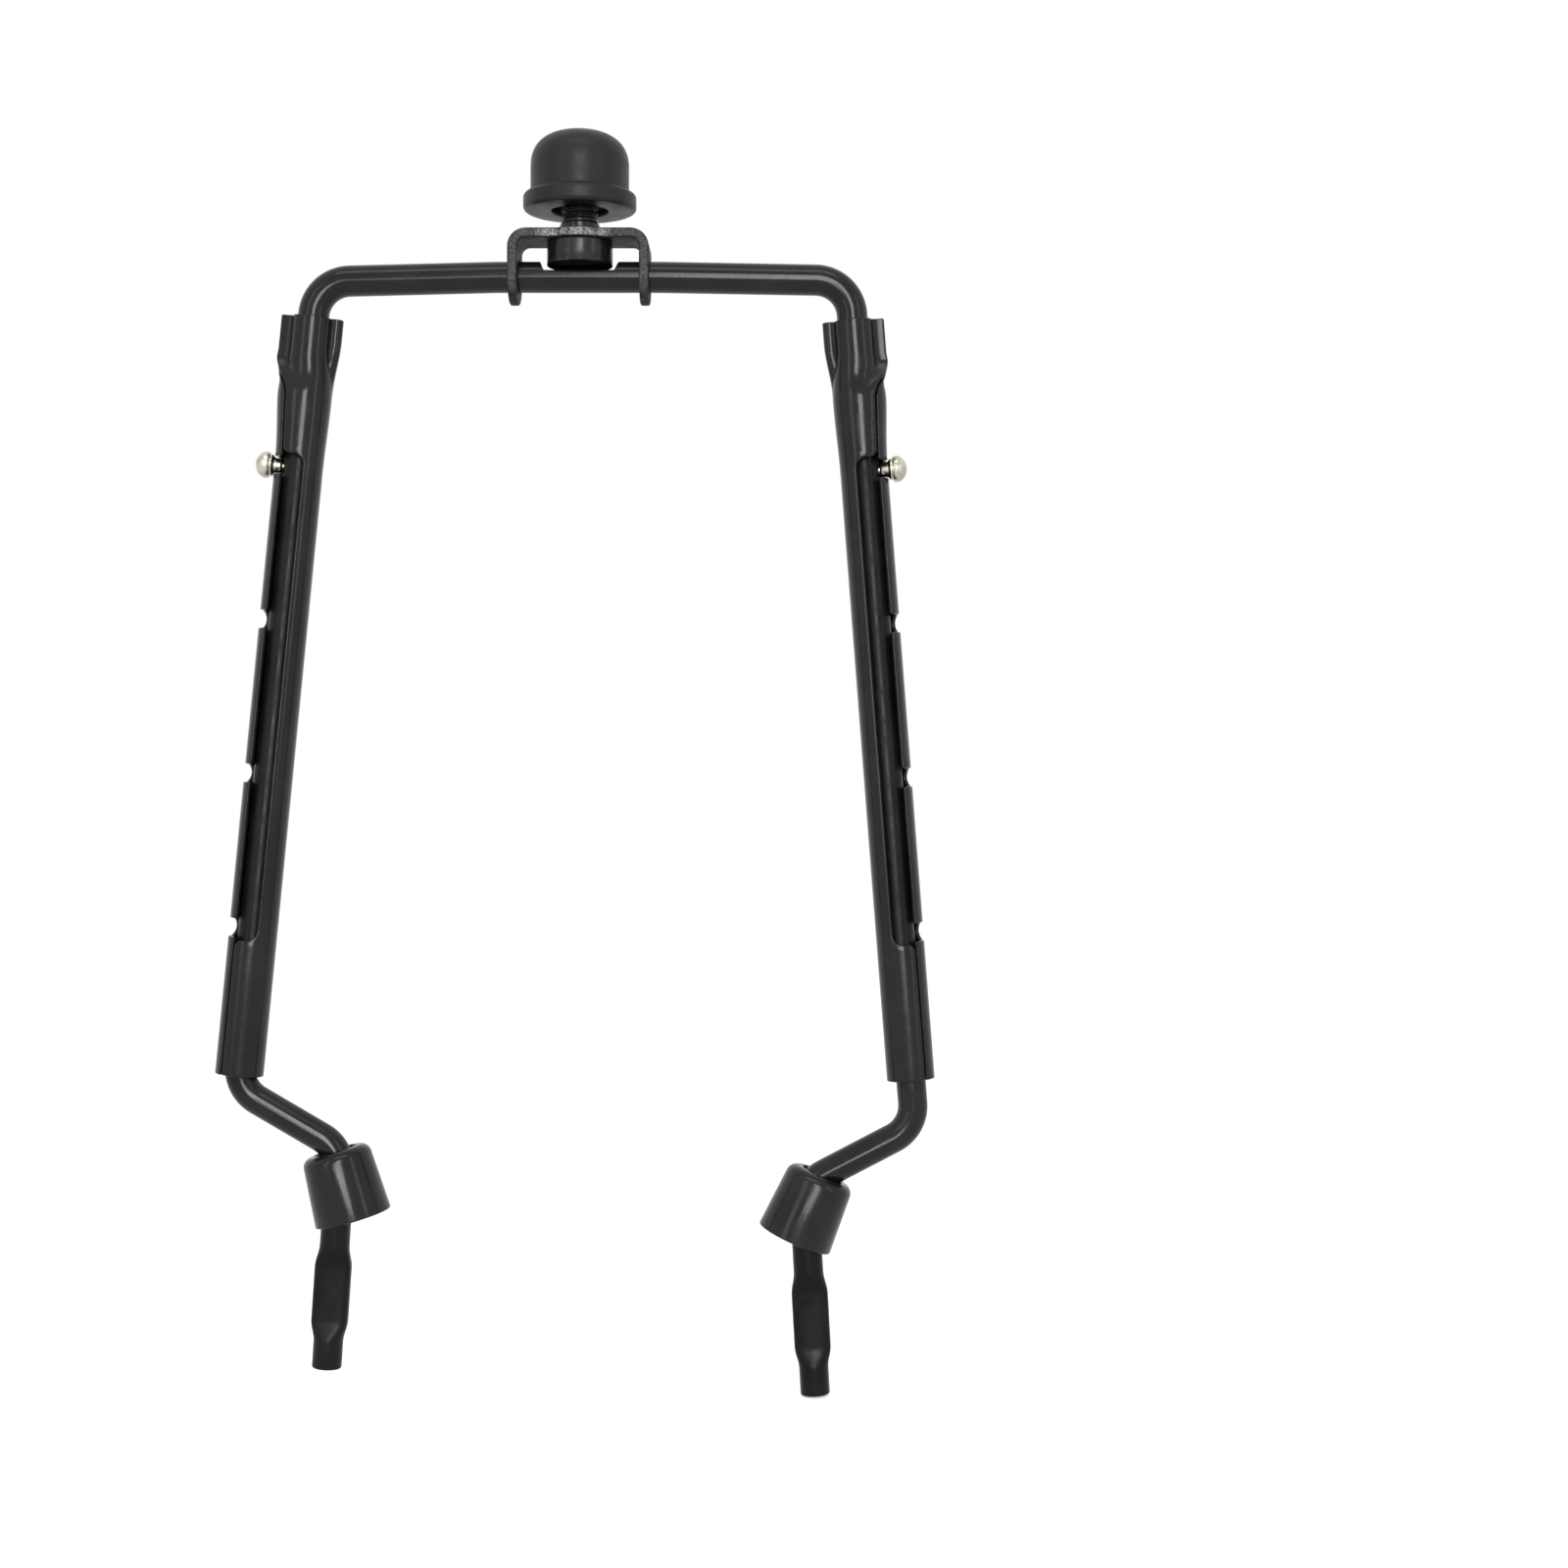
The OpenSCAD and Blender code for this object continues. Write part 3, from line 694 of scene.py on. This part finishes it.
def satin(name):
    """Satin black paint of the knob, with a fine grain."""
    material, nodes, links, shader = new_material(name)
    cloud = ramp(nodes, links, noise(nodes, links, scale=90, detail=3), 0.35, 0.7,
                 (0.008, 0.008, 0.009), (0.014, 0.014, 0.015))
    worn = edges_worn(nodes, links, 0.53, 0.62)
    links.new(mixed(nodes, links, worn, cloud, (0.03, 0.03, 0.031)), shader.inputs["Base Color"])
    fine = noise(nodes, links, scale=700, detail=3)
    links.new(spread(nodes, links, fine, 0.36, 0.46), shader.inputs["Roughness"])
    shader.inputs["Specular IOR Level"].default_value = 0.22
    bumped(nodes, links, shader, noise(nodes, links, scale=3500, detail=2, roughness=0.6), 0.12)
    return material


def nickel(name):
    """Pale nickel of the pins, a little tarnished."""
    material, nodes, links, shader = new_material(name)
    tarnish = ramp(nodes, links, noise(nodes, links, scale=600, detail=4), 0.4, 0.75,
                   (0.62, 0.6, 0.52), (0.3, 0.28, 0.2))
    links.new(tarnish, shader.inputs["Base Color"])
    shader.inputs["Metallic"].default_value = 1.0
    fine = noise(nodes, links, scale=1500, detail=3)
    links.new(spread(nodes, links, fine, 0.2, 0.36), shader.inputs["Roughness"])
    bumped(nodes, links, shader, noise(nodes, links, scale=2600, detail=2), 0.08)
    return material


wire_black = enamel("wire_enamel", dark=(0.005, 0.005, 0.006), light=(0.009, 0.009, 0.01),
                    wear=(0.02, 0.02, 0.021), peel=0.05, gloss=0.13, dull=0.2)
sleeve_black = enamel("sleeve_enamel", dark=(0.005, 0.005, 0.006), light=(0.01, 0.01, 0.01),
                      wear=(0.03, 0.03, 0.03), peel=0.08, gloss=0.13, dull=0.22)
leg_black = leg_enamel("leg_enamel")
ferrule_black = enamel("ferrule_enamel", dark=(0.006, 0.006, 0.007), light=(0.011, 0.011, 0.012),
                       wear=(0.035, 0.035, 0.035), peel=0.1, gloss=0.13, dull=0.22)
bracket_black = bracket_enamel("bracket_enamel")
stud_black = stud_enamel("stud_enamel")
knob_black = satin("knob_satin")
pin_nickel = nickel("pin_nickel")


# The wire bow

def half_bow(side):
    """The sections of one half of the bow, from the edge of the flat seat into one sleeve."""
    end = side.tube_top + WIRE_GRIP * side.down_tube
    level_end = np.array([LEVEL_LEN / 2, 0.0])
    return (bend(np.zeros(2), level_end, side.corner, WIRE_D, LEVEL_BEND, steps=6)
            + bend(level_end, side.corner, end, WIRE_D, CORNER_BEND)
            + [section(end, angle_of(side.down_tube), WIRE_D, WIRE_D)])


def seat_sections():
    """The flat seat pressed into the bar, with run-outs that start a little outside it."""
    places = []
    for f in np.linspace(0, 1, SEAT_STEPS + 1):
        place_x = -SEAT_LEN / 2 - SEAT_RUN_PAST + SEAT_RUN_OUT * f
        places.append((place_x, eased(WIRE_D / 2, SEAT_H, f)))
    places += [(-x, top) for x, top in reversed(places)]
    return [section((x, 0.0), 0.0, WIRE_D, WIRE_D, top=top) for x, top in places]


def build_bow():
    """One bent wire: the left half run backwards, the seat and the right half."""
    flipped = [
        ((-at[0], at[1]), -angle, w, t, power, top)
        for at, angle, w, t, power, top in reversed(half_bow(LEFT))
    ]
    points, faces = sweep(RIGHT, flipped + seat_sections() + half_bow(RIGHT), sides=64)
    make_piece("bent_wire_bow", points, faces, "bow", "top_bow", wire_black)


# The rolled sleeves

MID_R = (TUBE_OD - TUBE_WALL) / 2
ROUND_LEN = TUBE_LEN - CRIMP_LEN - BLEND_LEN


def pinched_half():
    """The sheet's middle in the pinched end, from the outer edge round the wire to the inner fold."""
    gap = TUBE_WALL / 2 + PINCH_SLACK
    lump_r = (WIRE_D + TUBE_WALL) / 2
    fold_x = INNER_WING - TUBE_WALL / 2 - gap - FOLD_PUFF
    knee = KNEE_SHARE * lump_r
    knee_h = math.sqrt(lump_r ** 2 - knee ** 2)
    x = np.linspace(OUTER_WING, -fold_x, 400)
    lump = np.where(np.abs(x) < knee, np.sqrt(np.maximum(lump_r ** 2 - x ** 2, 0)),
                    knee_h - knee / knee_h * (np.abs(x) - knee))
    softness = SOFT_MIDDLE + SOFT_OUTER * np.clip(x / SOFT_REACH, 0, 1) ** 2
    fold = np.clip((-x - knee) / (fold_x - knee), 0, 1)
    y = (gap + lump + np.sqrt((gap - lump) ** 2 + softness ** 2)) / 2 + FOLD_PUFF * smooth(fold)
    turn = np.linspace(0, math.pi / 2, 14)[1:]
    x = np.concatenate([x, -fold_x - y[-1] * np.sin(turn)])
    y = np.concatenate([y, y[-1] * np.cos(turn)])
    run = np.concatenate([[0], np.cumsum(np.hypot(np.diff(x), np.diff(y)))])
    return run / run[-1], x, y


PINCH_RUN, PINCH_X, PINCH_Y = pinched_half()


def sleeve_middle(side):
    """Flat sheet points (way round, height) to the middle surface of the rolled sleeve."""
    def middle(flat):
        angle = SEAM_ANGLE + flat[:, 0] / MID_R
        height = flat[:, 1]
        back = angle <= FOLD_ANGLE
        run = np.where(back, (angle - SEAM_ANGLE) / (FOLD_ANGLE - SEAM_ANGLE),
                       (SEAM_ANGLE + FULL_TURN - angle) / (SEAM_ANGLE + FULL_TURN - FOLD_ANGLE))
        start = CRIMP_LEN * (1 - EARLY_SHARE * run ** EARLY_POWER)
        fall = np.clip((TUBE_LEN - start - height) / (CRIMP_LEN + BLEND_LEN - start), 0, 1)
        pinch = 0.5 + 0.5 * np.cos(math.pi * fall ** FALL_POWER)
        collar = np.clip((height - ROUND_LEN + COLLAR_LEN) / COLLAR_LEN, 0, 1)
        radius = MID_R + COLLAR * smooth(collar)
        flat_x = np.interp(run, PINCH_RUN, PINCH_X)
        flat_y = np.interp(run, PINCH_RUN, PINCH_Y) * np.where(back, 1, -1)
        x = (1 - pinch) * radius * np.sin(angle) + pinch * flat_x
        y = -(1 - pinch) * radius * np.cos(angle) + pinch * flat_y
        swell = np.clip((TUBE_LEN - CRIMP_LEN + SWELL_LEAD - height) / SWELL_LEN, 0, 1) ** SWELL_POWER
        x += SWELL * np.sin(math.pi * swell) ** 2 * np.clip(x / MID_R, 0, 1)
        return place(side, side.tube_end, -side.down_tube, np.column_stack([x, y, height]))
    return middle


def sleeve_outline():
    """The flat sheet: one edge of the seam carries the notches, and the other the long slot."""
    first = SEAM_GAP / 2
    last = MID_R * FULL_TURN - SEAM_GAP / 2
    slot_edge = MID_R * (FULL_TURN - 2 * math.asin(SLOT_W / TUBE_OD))
    slot_top = TUBE_LEN - NOTCH_DROP + SLOT_W / 2
    slot_bottom = slot_top - (SETTINGS - 1) * NOTCH_PITCH - SLOT_W
    notch_end = MID_R * (NOTCH_PAST - SEAM_ANGLE)
    blind = NOTCH_H / 2 - NOTCH_SPARE
    slot_r = SLOT_W / 2 - SLOT_SPARE
    corners = [
        (first, 0, SHEET_CORNER),
        (last, 0, SHEET_CORNER),
        (last, slot_bottom, SLOT_MOUTH),
        (slot_edge, slot_bottom, slot_r),
        (slot_edge, slot_top, slot_r),
        (last, slot_top, SLOT_MOUTH),
        (last, TUBE_LEN, SHEET_CORNER),
        (first, TUBE_LEN, SHEET_CORNER),
    ]
    for i in range(SETTINGS):
        top = TUBE_LEN - NOTCH_DROP - i * NOTCH_PITCH + NOTCH_H / 2
        corners += [
            (first, top, SHEET_CORNER),
            (notch_end, top, blind),
            (notch_end, top - NOTCH_H, blind),
            (first, top - NOTCH_H, SHEET_CORNER),
        ]
    return rounded(corners)


def build_sleeve(side, name, node):
    """A rolled sleeve, meshed coarsely along the round stretch and finely in the pinched top."""
    coarse, fine, finest = 0.36, 0.16, 0.14
    coarse_row, fine_row = 1.0, 0.3
    margin, lead, rim = 0.4, 3, 1

    def longest(a, b):
        return finest if min(a[1], b[1]) > TUBE_LEN - rim else coarse

    outline = divided(sleeve_outline(), longest)
    width = MID_R * FULL_TURN
    stretches = (
        (margin, ROUND_LEN - lead, coarse_row, coarse),
        (ROUND_LEN - (lead - margin), TUBE_LEN, fine_row, fine),
    )
    inner = []
    for low, high, row_step, column_step in stretches:
        x, y = np.meshgrid(np.arange(column_step, width, column_step), np.arange(low, high, row_step))
        inner.append(np.column_stack([x.ravel(), y.ravel()]))
    points, faces = sheet([outline], np.vstack(inner), sleeve_middle(side), TUBE_WALL, SHEET_EDGE)
    make_piece(name, points, faces, "bow", node, sleeve_black)


# The legs, pins and ferrules

def leg_sections(side):
    middle = (side.first_bend + side.second_bend) / 2
    down = angle_of(side.down_foot)
    shares = np.linspace(0, 1, FLAT_STEPS + 1)
    flat = []
    for f in shares:
        flat.append((FLAT_LEN - FLAT_BLEND * f, eased(ROD_D, FLAT_W, f), eased(ROD_D, FLAT_T, f),
                     eased(2, FLAT_POWER, f)))
    for f in shares:
        flat.append((FLAT_BLEND * (1 - f), eased(FLAT_W, TIP_D, f), eased(FLAT_T, TIP_D, f),
                     eased(FLAT_POWER, 2, f)))
    return (
        rod_end(side.leg_top, side.down_tube, ROD_D, ROD_EDGE)
        + bend(side.leg_top, side.first_bend, middle, ROD_D, LEG_BEND)
        + bend(middle, side.second_bend, side.foot_tip, ROD_D, LEG_BEND)
        + [section(side.foot_tip - (TIP_LEN + over) * side.down_foot, down, w, t, power)
           for over, w, t, power in flat]
        + [(at, down, w, t, power, top)
           for at, _, w, t, power, top
           in reversed(rod_end(side.foot_tip, -side.down_foot, TIP_D, ROD_EDGE))]
    )


def build_leg(side, name, body, node):
    """A bent rod from inside its sleeve to the round tip of its flattened foot."""
    points, faces = sweep(side, leg_sections(side))
    make_piece(name, points, faces, body, node, leg_black)


def pin_profile():
    """A round-headed pin from inside the rod outwards: root, flared neck, collar, groove and head."""
    seat = ROD_D / 2
    head = TUBE_OD / 2 + PIN_GAP
    half = PIN_HEAD_D / 2
    root = PIN_ROOT_D / 2
    neck = PIN_NECK_D / 2
    collar = neck + PIN_COLLAR
    rim = head + PIN_RIM
    tight, soft, open_fillet = 0.1, 0.15, 0.3
    collar_round, groove_round = 0.12, 0.06
    flare_in, flare_h, groove = 0.2, 0.4, 0.2
    head_in, head_rise = 0.15, 0.35
    low = [
        (0, seat - PIN_DEPTH, 0),
        (root, seat - PIN_DEPTH, tight),
        (root, seat + tight, tight),
        (neck - flare_in, seat + flare_h, soft),
        (neck, TUBE_OD / 2, open_fillet),
        (collar, head - soft, collar_round),
        (collar, head + tight, tight),
        (neck + groove, head + groove, groove_round),
        (half - head_in, head + head_rise, soft),
        (half, rim, 0),
    ]
    crown = arc((0, 0), 1, 0, math.pi / 2, 16) * [half, PIN_HEAD_H - PIN_RIM] + [0, rim]
    return np.vstack([rounded(low, closed=False, steps=5)[:-1], crown])


def build_pin(side, name, body, node):
    """The locking pin, square to its sleeve and pointing outwards."""
    points, faces = revolve(pin_profile(), sides=64)
    outwards = turned(side.down_tube, math.pi / 2)
    make_piece(name, place(side, side.pin, outwards, points), faces, body, node, pin_nickel)


def build_ferrule(side, name, body, node):
    """A drawn cup with its closed end up, a hole in that end and thin rounded lips."""
    lip = FERRULE_WALL / 2 - LIP_SPARE
    top, mouth, hole = FERRULE_TOP_D / 2, FERRULE_MOUTH_D / 2, FERRULE_HOLE / 2
    profile = rounded([
        (hole, -FERRULE_WALL, lip),
        (hole, 0, lip),
        (top, 0, FERRULE_SHOULDER),
        (mouth, -FERRULE_H, lip),
        (mouth - FERRULE_WALL, -FERRULE_H, lip),
        (top - FERRULE_WALL, -FERRULE_WALL, FERRULE_SHOULDER - FERRULE_WALL),
    ])
    points, faces = revolve(profile)
    base = side.ferrule + FERRULE_WALL / 2 * side.ferrule_up
    make_piece(name, place(side, base, side.ferrule_up, points), faces, body, node,
               ferrule_black)


# The shade bracket

PLATE_HALF = BRACKET_W / 2 - BRACKET_BEND
BEND_R = BRACKET_BEND - BRACKET_T / 2
EAR_START = PLATE_HALF + BEND_R * math.pi / 2
EAR_HOLE = EAR_START + BRACKET_H - BRACKET_BEND


def bracket_middle(flat):
    """Flat strip points (along, across) to the middle surface of the folded bracket."""
    along = np.abs(flat[:, 0])
    hand = np.where(flat[:, 0] < 0, -1, 1)
    turn = np.clip((along - PLATE_HALF) / BEND_R, 0, math.pi / 2)
    x = np.minimum(along, PLATE_HALF) + BEND_R * np.sin(turn)
    z = BRACKET_H - BRACKET_T / 2 - BEND_R * (1 - np.cos(turn)) - np.maximum(along - EAR_START, 0)
    return place(RIGHT, (0, 0), UP, np.column_stack([hand * x, flat[:, 1], z]))


def build_bracket():
    """The folded strip with its round land and ears, holed for the bar and the stud."""
    rim_step, along_step, across_step = 0.4, 0.3, 0.4
    half = BRACKET_DEPTH / 2
    land = LAND_D / 2
    flare = math.asin(half / land)
    quarter = math.pi / 2
    outline = np.vstack([
        arc((EAR_HOLE, 0), half, -quarter, quarter, 36),
        arc((0, 0), land, flare, math.pi - flare, 24),
        arc((-EAR_HOLE, 0), half, quarter, 3 * quarter, 36),
        arc((0, 0), land, math.pi + flare, FULL_TURN - flare, 24),
    ])
    holes = [
        arc((x, 0), r, FULL_TURN, 0, 64)[:-1]
        for x, r in ((-EAR_HOLE, WIRE_D / 2 + SWIVEL_GAP), (0, SHOULDER_D / 2),
                     (EAR_HOLE, WIRE_D / 2 + SWIVEL_GAP))
    ]
    outline = divided(outline, lambda a, b: rim_step)
    reach = EAR_HOLE + half
    x, y = np.meshgrid(np.arange(-reach, reach, along_step), np.arange(-land, land, across_step))
    inner = np.column_stack([x.ravel(), y.ravel()])
    points, faces = sheet([outline] + holes, inner, bracket_middle, BRACKET_T, BRACKET_EDGE)
    make_piece("folded_bracket", points, faces, "bracket", "swivel_bracket",
               bracket_black)


# The stud and the knob

def thread(low, high):
    """The depth of a helical thread between two heights, run out at both ends."""
    def depth(z, spin):
        fade = min(1.0, max(0.0, (z - low) / THREAD_PITCH), max(0.0, (high - z) / THREAD_PITCH))
        phase = (z / THREAD_PITCH - spin / FULL_TURN) % 1
        ridge = THREAD_CREST - THREAD_FLANK * np.abs(phase - 0.5)
        return fade * THREAD_DEPTH * np.clip(ridge, 0, 1)
    return depth


def build_stud():
    """The stud: head under the plate, shoulder through it and a cut thread above."""
    under = BRACKET_H - BRACKET_T
    radius = STUD_D / 2
    tip = BRACKET_H + STUD_H
    shoulder_top = BRACKET_H + SHOULDER_H
    neck_h, first_row, last_row, run_in = 0.15, 0.2, 0.45, 0.1
    root_round, shoulder_round = 0.1, 0.2
    head = arc((0, 0), 1, -math.pi / 2, 0, 18) * [HEAD_D / 2, HEAD_DOME] + [0, under - HEAD_EDGE]
    body = rounded([
        (HEAD_D / 2, under - HEAD_EDGE, 0),
        (HEAD_D / 2, under, HEAD_ROUND),
        (SHOULDER_D / 2, under, root_round),
        (SHOULDER_D / 2, shoulder_top, shoulder_round),
        (radius, shoulder_top + neck_h, 0),
    ], closed=False, steps=5)
    rows = np.arange(shoulder_top + first_row, tip - last_row, THREAD_PITCH / THREAD_ROWS)
    threads = np.column_stack([np.full(len(rows), radius), rows])
    end = [(radius, tip - STUD_CHAMFER), (radius - STUD_CHAMFER, tip), (0, tip)]
    profile = np.vstack([head[:-1], body, threads, end])
    points, faces = revolve(profile, wave=thread(shoulder_top + run_in, tip))
    make_piece("threaded_stud", place(RIGHT, (0, 0), UP, points), faces, "bracket", "finial_stud",
               stud_black)


def build_knob():
    """A domed nut: crown, straight side, flange, a recess underneath and a blind bore."""
    side_round, rim_round, base_round = 0.45, 0.75, 0.7
    mouth_round, floor_round, bore_round, end_round = 0.25, 0.3, 0.2, 0.1
    half = KNOB_D / 2
    crown_base = FLANGE_H + KNOB_SIDE
    bore = STUD_D / 2 + THREAD_GAP
    bore_top = STUD_H + BORE_SPARE
    crown = [
        (half * math.cos(a) ** (2 / CROWN_POWER), crown_base + CROWN_H * math.sin(a) ** (2 / CROWN_POWER))
        for a in np.linspace(math.pi / 2, 0, 40)
    ]
    crown[0] = (0, crown_base + CROWN_H)
    low = rounded([
        (half, crown_base, 0),
        (half, FLANGE_H, side_round),
        (FLANGE_D / 2, FLANGE_H, rim_round),
        (FLANGE_D / 2, 0, base_round),
        (RECESS_D / 2, 0, mouth_round),
        (RECESS_D / 2, RECESS_H, floor_round),
        (bore, RECESS_H, bore_round),
        (bore, bore_top, end_round),
        (0, bore_top, 0),
    ], closed=False)
    points, faces = revolve(np.vstack([crown[:-1], low]), sides=128)
    base = (0, BRACKET_H + KNOB_LIFT)
    make_piece("turned_knob", place(RIGHT, base, UP, points), faces, "knob", "finial_knob",
               knob_black)


build_bow()
build_sleeve(LEFT, "left_sleeve", "left_tube")
build_sleeve(RIGHT, "right_sleeve", "right_tube")
build_leg(LEFT, "left_bent_leg", "left_leg", "left_leg")
build_leg(RIGHT, "right_bent_leg", "right_leg", "right_leg")
build_pin(LEFT, "left_locking_pin", "left_leg", "left_pin")
build_pin(RIGHT, "right_locking_pin", "right_leg", "right_pin")
build_ferrule(LEFT, "left_cup", "left_ferrule", "left_ferrule")
build_ferrule(RIGHT, "right_cup", "right_ferrule", "right_ferrule")
build_bracket()
build_stud()
build_knob()


# The studio: the camera and the floor in millimetres, the lamps in metres

CAMERA_LENS = 56.7
CAMERA_SENSOR = 36
CAMERA_RIGHT = 33.62
CAMERA_AWAY = 406.8
CAMERA_BELOW = 83.44
FLOOR_HALF = 4000
FLOOR_DROP = 0.2
FLOOR_WHITE = 0.86


def add_lamp(name, azimuth, elevation, distance, width, height, radiance, aim=(0, 0, 0.1)):
    """A soft rectangular lamp aimed at a place on the object; azimuth 0 degrees is its front."""
    a, e = math.radians(azimuth), math.radians(elevation)
    away = Vector((math.sin(a) * math.cos(e), -math.cos(a) * math.cos(e), math.sin(e)))
    data = bpy.data.lights.new(name, "AREA")
    data.shape = "RECTANGLE"
    data.size = width
    data.size_y = height
    data.energy = radiance * math.pi * width * height
    lamp = bpy.data.objects.new(name, data)
    lamp.location = Vector(aim) + away * distance
    lamp.rotation_euler = (-away).to_track_quat("-Z", "Y").to_euler()
    lamp.visible_camera = False
    bpy.context.scene.collection.objects.link(lamp)


def seen_directly(nodes, links):
    """Two masks: 1 for rays from the camera, and 1 for rays from gloss and through glass."""
    path = nodes.new("ShaderNodeLightPath")
    gloss = worked(nodes, links, "MAXIMUM", path.outputs["Is Glossy Ray"],
                   path.outputs["Is Transmission Ray"])
    return path.outputs["Is Camera Ray"], gloss


def build_world(level):
    """A white studio: strength 1 wherever it is seen, and a plain level as light."""
    world = bpy.data.worlds.new("studio")
    bpy.context.scene.world = world
    world.use_nodes = True
    nodes, links = world.node_tree.nodes, world.node_tree.links
    background = nodes["Background"]
    background.inputs["Color"].default_value = (1, 1, 1, 1)
    camera, gloss = seen_directly(nodes, links)
    seen = worked(nodes, links, "MAXIMUM", camera, gloss)
    links.new(scaled(nodes, links, seen, level, 1.0), background.inputs["Strength"])


def build_floor(lift):
    """A white floor: it keeps the object's shadow, and gloss sees it plain white."""
    material = bpy.data.materials.new("floor_white")
    material.use_nodes = True
    nodes, links = material.node_tree.nodes, material.node_tree.links
    nodes.clear()
    camera, gloss = seen_directly(nodes, links)
    matte = nodes.new("ShaderNodeBsdfDiffuse")
    matte.inputs["Color"].default_value = (FLOOR_WHITE, FLOOR_WHITE, FLOOR_WHITE, 1)
    glow = nodes.new("ShaderNodeEmission")
    links.new(worked(nodes, links, "MULTIPLY", camera, lift), glow.inputs["Strength"])
    both = nodes.new("ShaderNodeAddShader")
    links.new(matte.outputs["BSDF"], both.inputs[0])
    links.new(glow.outputs["Emission"], both.inputs[1])
    plain = nodes.new("ShaderNodeEmission")
    mix = nodes.new("ShaderNodeMixShader")
    links.new(gloss, mix.inputs["Fac"])
    links.new(both.outputs["Shader"], mix.inputs[1])
    links.new(plain.outputs["Emission"], mix.inputs[2])
    out = nodes.new("ShaderNodeOutputMaterial")
    links.new(mix.outputs["Shader"], out.inputs["Surface"])
    half, under = FLOOR_HALF * MM, -FLOOR_DROP * MM
    corners = [(-half, -half, under), (half, -half, under), (half, half, under), (-half, half, under)]
    mesh = bpy.data.meshes.new("floor")
    mesh.from_pydata(corners, [], [(0, 1, 2, 3)])
    mesh.materials.append(material)
    floor = bpy.data.objects.new("floor", mesh)
    bpy.context.scene.collection.objects.link(floor)


def build_camera():
    """A level camera in front of the harp, off to its right."""
    data = bpy.data.cameras.new("camera")
    data.lens = CAMERA_LENS
    data.sensor_width = CAMERA_SENSOR
    camera = bpy.data.objects.new("camera", data)
    camera.location = ((STUD_X + CAMERA_RIGHT) * MM, -CAMERA_AWAY * MM, (BAR_Z - CAMERA_BELOW) * MM)
    camera.rotation_euler = (math.pi / 2, 0, 0)
    bpy.context.scene.collection.objects.link(camera)
    bpy.context.scene.camera = camera


build_world(level=0.62)
build_floor(lift=0.5)
build_camera()
add_lamp("front_strip", azimuth=5.5, elevation=9, distance=1.3, width=0.36, height=0.85, radiance=11)
add_lamp("front_bar", azimuth=-6, elevation=-1, distance=1.1, width=0.22, height=0.09, radiance=10,
         aim=(0, 0, 0.15))
add_lamp("left_panel", azimuth=-36, elevation=12, distance=1.2, width=0.25, height=0.9, radiance=1.8)
add_lamp("right_strip", azimuth=52, elevation=12, distance=1.2, width=0.1, height=0.9, radiance=3.4)
add_lamp("top_panel", azimuth=0, elevation=62, distance=1.2, width=0.9, height=0.35, radiance=2.4)
bpy.context.scene.view_settings.view_transform = "Standard"
